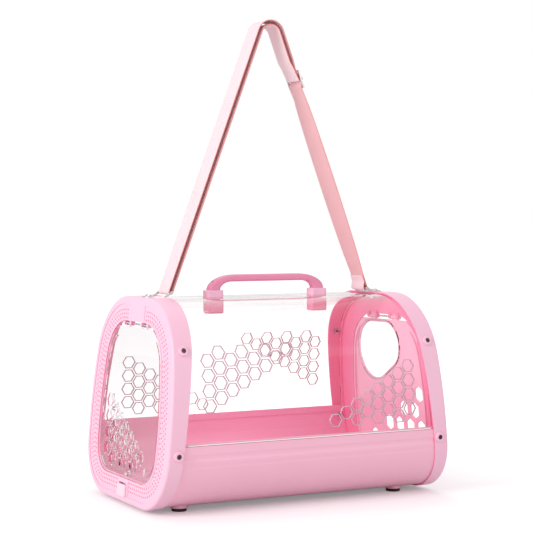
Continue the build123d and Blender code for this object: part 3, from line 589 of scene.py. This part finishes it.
def vent_edge_pattern():
    """Six-sided rings that line the vents, one at each guide point, laid on the curved shell; their darker pink
    is partly painted shade.
    """
    tree, given, made = new_pattern(
        "vent_edge_pattern",
        [
            ("Radius", "Float", 0.0099),
            ("Rim", "Float", 0.0013),
            ("Depth", "Float", 0.0028),
            ("Side", "Float", 1.0),
        ],
    )
    circle = add_node(tree, "GeometryNodeCurvePrimitiveCircle", None, Resolution=6, Radius=given["Radius"])
    profile = add_node(
        tree, "GeometryNodeCurvePrimitiveQuadrilateral", None, Width=given["Rim"], Height=given["Depth"]
    )
    ring = add_node(
        tree, "GeometryNodeCurveToMesh", None, Curve=circle.outputs[0], Profile_Curve=profile.outputs[0]
    )
    upright = add_node(
        tree, "GeometryNodeTransform", None, Geometry=ring.outputs[0], Rotation=(math.pi / 2, 0, 0)
    )
    rings = add_node(
        tree, "GeometryNodeInstanceOnPoints", None, Points=given["Geometry"], Instance=upright.outputs[0]
    )
    place = tree.nodes.new("GeometryNodeInputPosition")
    parts = add_node(tree, "ShaderNodeSeparateXYZ", None, Vector=place.outputs[0])
    height = math_node(tree, "SUBTRACT", parts.outputs[2], FOOT_LIFT)
    middle = math_node(tree, "MULTIPLY", given["Depth"], 0.45)
    width = math_node(tree, "SUBTRACT", half_width_nodes(tree, height), middle)
    reach = math_node(tree, "MULTIPLY", width, given["Side"])
    offset = add_node(tree, "ShaderNodeCombineXYZ", None, Y=reach)
    wrapped = add_node(
        tree, "GeometryNodeSetPosition", None, Geometry=realize(tree, rings.outputs[0]), Offset=offset.outputs[0]
    )
    close_pattern(tree, given, made, wrapped.outputs[0])
    return tree


def stitch_pattern():
    """Stitches that follow the guide lines of a seam."""
    tree, given, made = new_pattern(
        "stitch_pattern",
        [("Stitch", "Float", 0.0026), ("Spacing", "Float", 0.0034), ("Thread", "Float", 0.00035)],
    )
    points = points_on_guides(tree, given, given["Spacing"])
    thread = add_node(
        tree, "GeometryNodeMeshCylinder", None, Vertices=6, Side_Segments=1, Fill_Segments=1,
        Radius=given["Thread"], Depth=given["Stitch"],
    )
    row = add_node(
        tree, "GeometryNodeInstanceOnPoints", None, Points=points.outputs["Points"],
        Instance=thread.outputs["Mesh"], Rotation=points.outputs["Rotation"],
    )
    close_pattern(tree, given, made, realize(tree, row.outputs[0]))
    return tree


def guide_mesh(name, lines):
    """Mesh of bare edges from lists of points."""
    points, edges = [], []
    for line in lines:
        first = len(points)
        points += [tuple(p) for p in line]
        edges += [(first + i, first + i + 1) for i in range(len(line) - 1)]
    mesh = bpy.data.meshes.new(name + "_guides")
    mesh.from_pydata(points, edges, [])
    return mesh


def grow_pattern(name, lines, tree, values, body):
    """Run a pattern over its guide lines and keep the result as a plain mesh."""
    piece = bpy.data.objects.new(name, guide_mesh(name, lines))
    bpy.context.scene.collection.objects.link(piece)
    pattern = piece.modifiers.new("pattern", "NODES")
    pattern.node_group = tree
    for socket in tree.interface.items_tree:
        if socket.in_out == "INPUT" and socket.name in values:
            pattern[socket.identifier] = values[socket.name]
    grown = piece.evaluated_get(bpy.context.evaluated_depsgraph_get())
    mesh = bpy.data.meshes.new_from_object(grown)
    piece.modifiers.remove(pattern)
    piece.data = mesh
    mesh.name = name
    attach(piece, body)
    return piece


# Shapes shared by the pieces


def corner(radius, z):
    """Centre of an outline corner at a height, and the angle where it meets the side's arc."""
    y = SIDE_Y + math.sqrt((SIDE_R - radius) ** 2 - (z - BELLY) ** 2)
    return y, z, math.atan2(z - BELLY, y - SIDE_Y)


def barrel_points(inset, steps=24):
    """Closed barrel outline as points, from the middle of its base round to the same place."""
    top_y, top_z, top_angle = corner(SHOULDER_R, HIGH - SHOULDER_R)
    low_y, low_z, low_angle = corner(LOW_R, LOW_R)
    half = [(0.0, inset)]
    arcs = (
        (low_y, low_z, LOW_R - inset, -math.pi / 2, low_angle),
        (SIDE_Y, BELLY, SIDE_R - inset, low_angle, top_angle),
        (top_y, top_z, SHOULDER_R - inset, top_angle, math.pi / 2),
    )
    for y, z, radius, start, stop in arcs:
        for i in range(steps + 1):
            angle = start + (stop - start) * i / steps
            half.append((y + radius * math.cos(angle), z + radius * math.sin(angle)))
    half.append((0.0, HIGH - inset))
    return half + [(-y, z) for y, z in reversed(half[:-1])]


def end_point(side, across, up, out):
    """Point on an end of the carrier: across, up its leaning face, and out of it."""
    lean_x, lean_z = side * math.cos(END_LEAN), math.sin(END_LEAN)
    x = side * HALF_LENGTH + lean_x * out - side * math.sin(END_LEAN) * up
    return Vector((x, across, FOOT_LIFT + lean_z * out + math.cos(END_LEAN) * up))


def evenly(points, step):
    """The same line with points at even distances."""
    line = [Vector(p) for p in points]
    result, carry = [line[0]], 0.0
    for start, stop in zip(line, line[1:]):
        length = (stop - start).length
        place = step - carry
        while place < length:
            result.append(start.lerp(stop, place / length))
            place += step
        carry = length - (place - step)
    return result


def shell_vents():
    """Centres of the clear shell's vents, as the front shows them, in two point-symmetric clusters."""
    places = []
    for column, count in enumerate(VENT_COLUMNS):
        drop = 0.0 if column % 2 else VENT_PITCH / 2
        for row in range(count):
            x = -VENT_OUTER_X + column * VENT_PITCH * math.sqrt(3) / 2
            z = VENT_MIDDLE + (2.5 - row) * VENT_PITCH - drop
            places += [(x, z), (-x, 2 * VENT_MIDDLE - z)]
    return places


def shell_half_width(height, inset):
    """Half width of the barrel outline, moved inwards, at a height on its side."""
    return SIDE_Y + math.sqrt((SIDE_R - inset) ** 2 - (height - BELLY) ** 2)


def side_strip(name, low, high, inset, wall, body, finish):
    """Thin strip along both long faces, between the end caps."""
    vertices, faces = [], []
    for side in (-1, 1):
        for end in (-1, 1):
            for height, depth in ((low, 0), (high, 0), (high, wall), (low, wall)):
                x = end * (HALF_LENGTH - STRIP_END - math.tan(END_LEAN) * height)
                y = side * (shell_half_width(height, inset) - depth)
                vertices.append((x, y, FOOT_LIFT + height))
        first = len(vertices) - 8
        for i in range(4):
            j = (i + 1) % 4
            faces.append((first + i, first + j, first + 4 + j, first + 4 + i))
        faces += [tuple(first + i for i in (3, 2, 1, 0)), tuple(first + i for i in (4, 5, 6, 7))]
    mesh = bpy.data.meshes.new(name)
    mesh.from_pydata(vertices, [], faces)
    mesh.validate()
    fix_normals(mesh)
    return new_piece(name, mesh, body, finish)


def perforation_lines(side):
    """Rows of hole centres round an end face, broken at the plain pads."""
    lines = []
    for row, inset in enumerate(HOLE_ROWS):
        ring = evenly(barrel_points(inset), HOLE_STEP)
        run = []
        for y, z in ring:
            at_hinge = abs(y) < HINGE_PAD[0] and z > HINGE_PAD[1]
            at_latch = abs(y) < LATCH_PAD[0] and z < LATCH_PAD[1]
            innermost = row == len(HOLE_ROWS) - 1
            past_row = innermost and not INNER_ROW_SPAN[0] < z < INNER_ROW_SPAN[1]
            if at_hinge or at_latch or past_row:
                if len(run) > SHORTEST_RUN:
                    lines.append(run)
                run = []
            else:
                run.append(end_point(side, y, z, -HOLE_SINK))
        if len(run) > SHORTEST_RUN:
            lines.append(run)
    return [run[STAGGER:] if index % 2 else run for index, run in enumerate(lines)]


# Pieces of the carrier


class FinishOperator:
    """Gives CAD nodes their finishes."""

    finishes = {}

    def execute(self, context):
        for finish, nodes in self.finishes.items():
            finish_nodes(finish, *nodes)
        return {"FINISHED"}


class CARRIER_OT_end_caps(bpy.types.Operator):
    """Finish the moulded end caps and punch their rows of small holes"""

    bl_idname = "carrier.end_caps"
    bl_label = "End Caps"

    def execute(self, context):
        sizes = context.scene.carrier_sizes
        finish_nodes("cap_plastic", "left_end_cap", "right_end_cap")
        # Painted shade: the holes are shallow cups in a dark crimson tone that stands in for the shade in real
        # holes.
        tree = perforation_pattern()
        for side, name in ((-1, "left_perforations"), (1, "right_perforations")):
            values = {
                "Hole Radius": sizes.hole_radius,
                "Spacing": sizes.hole_spacing,
                "Facing": (0.0, side * (math.pi / 2 - END_LEAN), 0.0),
                "Finish": material("perforation_shade"),
            }
            grow_pattern(name, perforation_lines(side), tree, values, CARRIER)
        return {"FINISHED"}


class CARRIER_OT_clear_shell(bpy.types.Operator):
    """Finish the clear shell that wraps over the carrier"""

    bl_idname = "carrier.clear_shell"
    bl_label = "Clear Shell"

    def execute(self, context):
        finish_nodes("clear_shell_plastic", "clear_shell")
        tree = vent_edge_pattern()
        for side, name, drop in ((-1.0, "front_vent_edges", 0.0), (1.0, "back_vent_edges", BACK_VENT_DROP)):
            values = {
                "Radius": VENT_FLAT / math.sqrt(3) + HAIR,
                "Side": side,
                "Finish": material("cut_edge"),
            }
            spots = [[Vector((-side * x, 0, z - drop + FOOT_LIFT))] for x, z in shell_vents()]
            grow_pattern(name, spots, tree, values, CARRIER)
        return {"FINISHED"}


class CARRIER_OT_tray(bpy.types.Operator):
    """Finish the base tray and its floor plate"""

    bl_idname = "carrier.tray"
    bl_label = "Tray"

    def execute(self, context):
        finish_nodes("tray_plastic", "base_tray")
        side_strip(
            "seam_shadow", TRAY_HEIGHT + HAIR, TRAY_HEIGHT + SEAM_GAP - HAIR, SHELL_INSET + SEAM_SINK,
            SEAM_DEPTH, CARRIER, "seam_shade",
        )
        # Partly the cut lower edge of the clear shell, partly painted highlight: an opaque white strip along it,
        # standing in for the light that edge carries.
        side_strip(
            "sheet_edge_strip", TRAY_HEIGHT + SEAM_GAP, TRAY_HEIGHT + SHEET_EDGE_TOP, SHELL_INSET - HAIR,
            SHEET_EDGE_DEPTH, CARRIER, "sheet_edge",
        )
        finish_nodes("floor_plastic", "floor_plate")
        return {"FINISHED"}


class CARRIER_OT_doors(FinishOperator, bpy.types.Operator):
    """Finish the clear door, the moulded door, its window pane and the hinge pins"""

    bl_idname = "carrier.doors"
    bl_label = "Doors"
    finishes = {
        "clear_door_plastic": ("left_door",),
        "door_plastic": ("right_door",),
        "clear_pane_plastic": ("window_pane",),
        "plated_steel": ("left_hinge_pin", "right_hinge_pin"),
    }


class CARRIER_OT_latches(FinishOperator, bpy.types.Operator):
    """Finish the sliding latches of the doors"""

    bl_idname = "carrier.latches"
    bl_label = "Latches"
    finishes = {
        "latch_plastic": ("left_latch", "right_latch"),
    }


class CARRIER_OT_fasteners(FinishOperator, bpy.types.Operator):
    """Finish the cap screws, their washers and nuts"""

    bl_idname = "carrier.fasteners"
    bl_label = "Cap Fasteners"
    finishes = {
        "collar_plastic": ("cap_washers",),
        "dark_screw_steel": ("cap_screws",),
        "plated_steel": ("cap_nuts",),
    }


class CARRIER_OT_handle(FinishOperator, bpy.types.Operator):
    """Finish the carrying handle, its collars, blocks and screws"""

    bl_idname = "carrier.handle"
    bl_label = "Handle"
    finishes = {
        "handle_plastic": ("handle_arch",),
        "block_plastic": ("handle_blocks",),
        "collar_plastic": ("handle_collars",),
        "brass": ("handle_screws",),
    }


class CARRIER_OT_feet(FinishOperator, bpy.types.Operator):
    """Finish the rubber feet and their screws"""

    bl_idname = "carrier.feet"
    bl_label = "Feet"
    finishes = {
        "foot_rubber": ("feet",),
        "plated_steel": ("foot_screws",),
    }


class CARRIER_OT_brackets(FinishOperator, bpy.types.Operator):
    """Finish the strap brackets, their screws and nuts, and the slider"""

    bl_idname = "carrier.brackets"
    bl_label = "Strap Brackets"
    finishes = {
        "plated_steel": (
            "left_strap_bracket", "right_strap_bracket", "bracket_screws", "bracket_nuts", "strap_slider",
        ),
    }


STRAP_SLOPE = 0.3785
BAR_X = 0.166
CAP_TOP = 0.3036
SLIDER_RISE = 0.326
BAR_Z = CAP_TOP + 0.007
EYE_R = 0.0032
TOP_R = 0.019
SLIDER_EYE_R = 0.0023
SLIDER_OUT = 0.0042
SLIDER_PITCH = 0.013
SLIDER_RUN = 0.034
WEBBING_OVER = 0.0040
TAIL_OUT = 0.0015
TAIL_LENGTH = 0.020
TAIL_BEND = 0.012
SLIDER_DIP = 0.001
LAYER_STEP = 0.0018
LAST_TURN = math.radians(205)
BEND_POINTS = 12
EYE_SHARE = 0.06
TURN_SIDE = 0.06
TURN_FROM, TURN_TO = 0.335, 0.60
SEWN_FROM, SEWN_TO = 0.0125, 0.0195
STITCH_INSET = 0.003
STITCH_PITCH = 1.3


class StrapRoute:
    """Line that the middle of the webbing follows, in the plane of the strap."""

    def __init__(self, steps):
        self.lean = math.atan(STRAP_SLOPE)
        self.steps = steps
        self.points = []
        self.slider_along = (CAP_TOP + SLIDER_RISE - BAR_Z) / math.cos(self.lean)
        self.apex = Vector((0, BAR_Z + BAR_X / STRAP_SLOPE - TOP_R / math.sin(self.lean)))
        self.up = Vector((-math.sin(self.lean), math.cos(self.lean)))

    def leg(self, along, out, side=1):
        sine, cosine = math.sin(self.lean), math.cos(self.lean)
        return Vector((side * (BAR_X - along * sine + out * cosine), BAR_Z + along * cosine + out * sine))

    def slider(self, along, out):
        return self.leg(self.slider_along + along, SLIDER_OUT + out)

    def top(self, out, side):
        radius = TOP_R + out
        return self.apex + Vector((side * radius * math.cos(self.lean), radius * math.sin(self.lean)))

    def to(self, point):
        if not self.points or (self.points[-1] - point).length > 1e-6:
            self.points.append(point)

    def line(self, start, stop, step=0.009):
        count = max(1, round((stop - start).length / step))
        for i in range(count + 1):
            self.to(start.lerp(stop, i / count))

    def arc(self, centre, radius, start, turn):
        count = max(4, round(self.steps * abs(turn) / (math.pi / 2)))
        for i in range(count + 1):
            angle = start + turn * i / count
            self.to(centre + Vector((radius * math.cos(angle), radius * math.sin(angle))))

    def bend(self, start, stop):
        """Smooth S-bend that leaves and arrives along the leg."""
        aside = Vector((self.up.y, -self.up.x))
        run, shift = (stop - start).dot(self.up), (stop - start).dot(aside)
        for i in range(BEND_POINTS + 1):
            t = i / BEND_POINTS
            ease = t * t * (3 - 2 * t)
            self.to(start + self.up * run * t + aside * shift * ease)

    def whole(self):
        turn, half = self.lean, math.pi - 2 * self.lean
        self.line(self.leg(TAIL_LENGTH, TAIL_OUT), self.leg(TAIL_BEND, TAIL_OUT), 0.002)
        self.bend(self.leg(TAIL_BEND, TAIL_OUT), self.leg(0, -EYE_R))
        self.arc(Vector((BAR_X, BAR_Z)), EYE_R, math.pi + turn, math.pi)
        self.line(self.leg(0, EYE_R), self.slider(-SLIDER_RUN, -SLIDER_DIP))
        weave = [(-SLIDER_RUN, -SLIDER_DIP), (-SLIDER_PITCH, -SLIDER_EYE_R), (0, WEBBING_OVER)]
        weave += [(SLIDER_PITCH, -SLIDER_EYE_R), (SLIDER_RUN, -SLIDER_DIP)]
        for start, stop in zip(weave, weave[1:]):
            self.bend(self.slider(*start), self.slider(*stop))
        self.line(self.slider(SLIDER_RUN, -SLIDER_DIP), self.top(EYE_R, 1))
        self.arc(self.apex, TOP_R + EYE_R, turn, half)
        self.line(self.top(EYE_R, -1), self.leg(0, EYE_R, -1))
        self.arc(Vector((-BAR_X, BAR_Z)), EYE_R, math.pi - turn, math.pi)
        self.line(self.leg(0, -EYE_R, -1), self.top(-EYE_R, -1))
        self.arc(self.apex, TOP_R - EYE_R, math.pi - turn, -half)
        under = self.slider(SLIDER_PITCH, -SLIDER_EYE_R - LAYER_STEP)
        self.line(self.top(-EYE_R, 1), self.slider(SLIDER_RUN, -SLIDER_DIP - 2 * EYE_R))
        self.bend(self.slider(SLIDER_RUN, -SLIDER_DIP - 2 * EYE_R), under)
        self.bend(under, self.slider(0, -SLIDER_EYE_R))
        self.arc(self.slider(0, 0), SLIDER_EYE_R, math.pi + turn, LAST_TURN)
        return self.points


def strap_section(width, wall):
    """Cross-section of the webbing: flat faces and rounded woven edges."""
    half, thick = width / 2, wall / 2
    face = [half - 0.0006, half - 0.004, half * 0.5, 0, -half * 0.5, -half + 0.004, -half + 0.0006]
    upper = [(half, 0.0), (half - 0.0002, thick * 0.7)] + [(w, thick) for w in face]
    lower = [(-half + 0.0002, thick * 0.7), (-half, 0.0), (-half + 0.0002, -thick * 0.7)]
    return upper + lower + [(w, -thick) for w in reversed(face)] + [(half - 0.0002, -thick * 0.7)]


class CARRIER_OT_strap(bpy.types.Operator):
    """Lay the shoulder strap's webbing along its route, and sew its end"""

    bl_idname = "carrier.strap"
    bl_label = "Shoulder Strap"

    def execute(self, context):
        sizes = context.scene.carrier_sizes
        route = StrapRoute(context.scene.carrier_studio.bend_steps)
        points = route.whole()
        section = strap_section(sizes.strap_width, sizes.strap_wall)
        vertices, lengths, length = [], [], 0.0
        outer_leg = range(len(points) // 2)
        last_single = max(i for i in outer_leg if points[i].x > TURN_SIDE and points[i].y < TURN_TO)
        for i, point in enumerate(points):
            before, after = points[max(i - 1, 0)], points[min(i + 1, len(points) - 1)]
            along = (after - before).normalized()
            out = Vector((along.y, -along.x))
            if i:
                length += (point - points[i - 1]).length
            lengths.append(length)
            turn = 0.0
            if EYE_SHARE < i / len(points) and i < last_single and point.y > TURN_FROM:
                share = (point.y - TURN_FROM) / (TURN_TO - TURN_FROM)
                turn = sizes.strap_turn * math.sin(math.pi * min(1.0, max(0.0, share))) ** 0.6
                spin = Matrix.Rotation(turn, 3, Vector((along.x, 0, along.y)))
            for across, thick in section:
                offset = Vector((out.x * thick, across, out.y * thick))
                if turn:
                    offset = spin @ offset
                vertices.append(Vector((point.x, 0, point.y)) + offset)
        count = len(section)
        faces = []
        for i in range(len(points) - 1):
            for j in range(count):
                k = (j + 1) % count
                here, there = i * count, (i + 1) * count
                faces.append((here + j, here + k, there + k, there + j))
        last = (len(points) - 1) * count
        faces.append(tuple(reversed(range(count))))
        faces.append(tuple(last + j for j in range(count)))
        mesh = bpy.data.meshes.new("shoulder_strap_webbing")
        mesh.from_pydata(vertices, [], faces)
        layer = mesh.uv_layers.new(name="UVMap")
        for polygon in mesh.polygons:
            inner = polygon.index % count > count // 2 and polygon.index < last
            shift = UV_MARGIN + (INNER_FACE if inner else 0)
            for loop in polygon.loop_indices:
                vertex = mesh.loops[loop].vertex_index
                layer.data[loop].uv = (section[vertex % count][0] + shift, lengths[vertex // count])
            polygon.use_smooth = True
        mesh.validate()
        fix_normals(mesh)
        strap = new_piece("shoulder_strap_webbing", mesh, CARRIER, "webbing")
        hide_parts("shoulder_strap")
        self.sew(sizes, route)
        return {"FINISHED"}

    def sew(self, sizes, route):
        """Box of stitches with a cross, on the outer face of the sewn eye."""
        half = sizes.strap_width / 2 - STITCH_INSET
        low, high = SEWN_FROM, SEWN_TO
        out = EYE_R + sizes.strap_wall / 2 + HAIR

        def spot(along, across):
            place = route.leg(along, out)
            return Vector((place.x, across, place.y))

        corners = [spot(low, -half), spot(low, half), spot(high, half), spot(high, -half), spot(low, -half)]
        lines = [corners, [corners[0], corners[2]], [corners[1], corners[3]]]
        values = {
            "Stitch": sizes.stitch_length,
            "Spacing": sizes.stitch_length * STITCH_PITCH,
            "Finish": material("thread"),
        }
        grow_pattern("strap_stitches", lines, stitch_pattern(), values, CARRIER)


def fix_normals(mesh):
    """Point every face of a closed mesh outwards."""
    work = bmesh.new()
    work.from_mesh(mesh)
    bmesh.ops.remove_doubles(work, verts=work.verts, dist=1e-7)
    bmesh.ops.recalc_face_normals(work, faces=work.faces)
    work.to_mesh(mesh)
    work.free()


# Stage


CAMERA_PLACE = (-1.0881, -2.1135, 0.4223)
CAMERA_YAW = 27.27
CAMERA_PITCH = -1.85
FLOOR_REACH = 12.0
FLOOR_TONE = 0.86
FLOOR_GLOW = (0.25, 0.8, 0.22, 0.5)
LAMPS = (
    ("key_lamp", (-3.2, -0.7, 1.5), (0, 0, 0.15), 1.6, "key"),
    ("fill_lamp", (0.9, -2.9, 1.5), (0, 0, 0.2), 1.8, "fill"),
    ("top_lamp", (0.3, 0.9, 2.6), (0, 0, 0.2), 1.4, "fill"),
)


class CARRIER_OT_stage(bpy.types.Operator):
    """Set the pale floor, the soft lamps, the room and the camera"""

    bl_idname = "carrier.stage"
    bl_label = "Stage"

    def execute(self, context):
        studio = context.scene.carrier_studio
        self.floor()
        self.room(context.scene, studio)
        for name, place, target, size, power in LAMPS:
            self.lamp(name, place, target, size, getattr(studio, power))
        data = bpy.data.cameras.new("camera")
        data.lens = studio.lens
        data.sensor_width = 36
        data.clip_end = 50
        camera = bpy.data.objects.new("camera", data)
        context.scene.collection.objects.link(camera)
        yaw, pitch = math.radians(CAMERA_YAW), math.radians(CAMERA_PITCH)
        view = Vector((math.sin(yaw) * math.cos(pitch), math.cos(yaw) * math.cos(pitch), math.sin(pitch)))
        camera.location = CAMERA_PLACE
        camera.rotation_euler = view.to_track_quat("-Z", "Y").to_euler()
        context.scene.camera = camera
        context.scene.view_settings.view_transform = "Standard"
        return {"FINISHED"}

    def floor(self):
        mesh = bpy.data.meshes.new("floor")
        signs = ((-1, -1), (1, -1), (1, 1), (-1, 1))
        corners = [(FLOOR_REACH * x, FLOOR_REACH * y, 0) for x, y in signs]
        mesh.from_pydata(corners, [], [(0, 1, 2, 3)])
        floor = bpy.data.objects.new("floor", mesh)
        bpy.context.scene.collection.objects.link(floor)
        paint, tree, surface = blank_material("floor_paint")
        surface.inputs["Base Color"].default_value = (*[FLOOR_TONE] * 3, 1)
        surface.inputs["Roughness"].default_value = 0.9
        surface.inputs["Specular IOR Level"].default_value = 0.1
        surface.inputs["Emission Color"].default_value = (1, 1, 1, 1)
        coordinates = tree.nodes.new("ShaderNodeTexCoord")
        away = vector_node(tree, "LENGTH", coordinates.outputs["Object"])
        glow = math_node(tree, "MULTIPLY", self.seen(tree), ramp(tree, away, *FLOOR_GLOW))
        tree.links.new(glow, surface.inputs["Emission Strength"])
        mesh.materials.append(paint)

    def seen(self, tree, *more):
        """One for rays seen straight or through clear plastic, and for any others named."""
        rays = tree.nodes.new("ShaderNodeLightPath")
        result = rays.outputs["Is Camera Ray"]
        for label in ("Is Transmission Ray", *more):
            result = math_node(tree, "MAXIMUM", result, rays.outputs[label])
        return result

    def room(self, scene, studio):
        world = bpy.data.worlds.new("room")
        scene.world = world
        world.use_nodes = True
        tree = world.node_tree
        background = tree.nodes["Background"]
        background.inputs["Color"].default_value = (1, 1, 1, 1)
        seen = self.seen(tree, "Is Glossy Ray")
        strength = math_node(tree, "MULTIPLY_ADD", seen, 1.0 - studio.surround, studio.surround)
        tree.links.new(strength, background.inputs["Strength"])

    def lamp(self, name, place, target, size, power):
        data = bpy.data.lights.new(name, "AREA")
        data.energy = power
        data.shape = "DISK"
        data.size = size
        lamp = bpy.data.objects.new(name, data)
        bpy.context.scene.collection.objects.link(lamp)
        lamp.location = place
        aim = Vector(target) - Vector(place)
        lamp.rotation_euler = aim.to_track_quat("-Z", "Y").to_euler()


class CARRIER_PT_panel(bpy.types.Panel):
    """Operators and settings of the carrier"""

    bl_idname = "CARRIER_PT_panel"
    bl_label = "Hard Pet Carrier"
    bl_space_type = "VIEW_3D"
    bl_region_type = "UI"
    bl_category = "Carrier"

    def draw(self, context):
        for operator in OPERATORS:
            self.layout.operator(operator.bl_idname)
        for name in ("carrier_colours", "carrier_sizes", "carrier_studio"):
            group = getattr(context.scene, name)
            box = self.layout.box()
            for key in group.__annotations__:
                box.prop(group, key)


GROUPS = (
    ("carrier_colours", CarrierColours),
    ("carrier_sizes", CarrierSizes),
    ("carrier_studio", CarrierStudio),
)
OPERATORS = (
    CARRIER_OT_end_caps,
    CARRIER_OT_clear_shell,
    CARRIER_OT_tray,
    CARRIER_OT_doors,
    CARRIER_OT_latches,
    CARRIER_OT_fasteners,
    CARRIER_OT_handle,
    CARRIER_OT_feet,
    CARRIER_OT_brackets,
    CARRIER_OT_strap,
    CARRIER_OT_stage,
)


def register():
    for name, group in GROUPS:
        bpy.utils.register_class(group)
        setattr(bpy.types.Scene, name, PointerProperty(type=group))
    for operator in OPERATORS:
        bpy.utils.register_class(operator)
    bpy.utils.register_class(CARRIER_PT_panel)


def unregister():
    bpy.utils.unregister_class(CARRIER_PT_panel)
    for operator in reversed(OPERATORS):
        bpy.utils.unregister_class(operator)
    for name, group in reversed(GROUPS):
        delattr(bpy.types.Scene, name)
        bpy.utils.unregister_class(group)


def main():
    register()
    moulded_group()
    clear_group()
    brushed_group()
    weave_group()
    for operator in OPERATORS:
        module, name = operator.bl_idname.split(".")
        getattr(getattr(bpy.ops, module), name)()


if __name__ == "__main__":
    main()
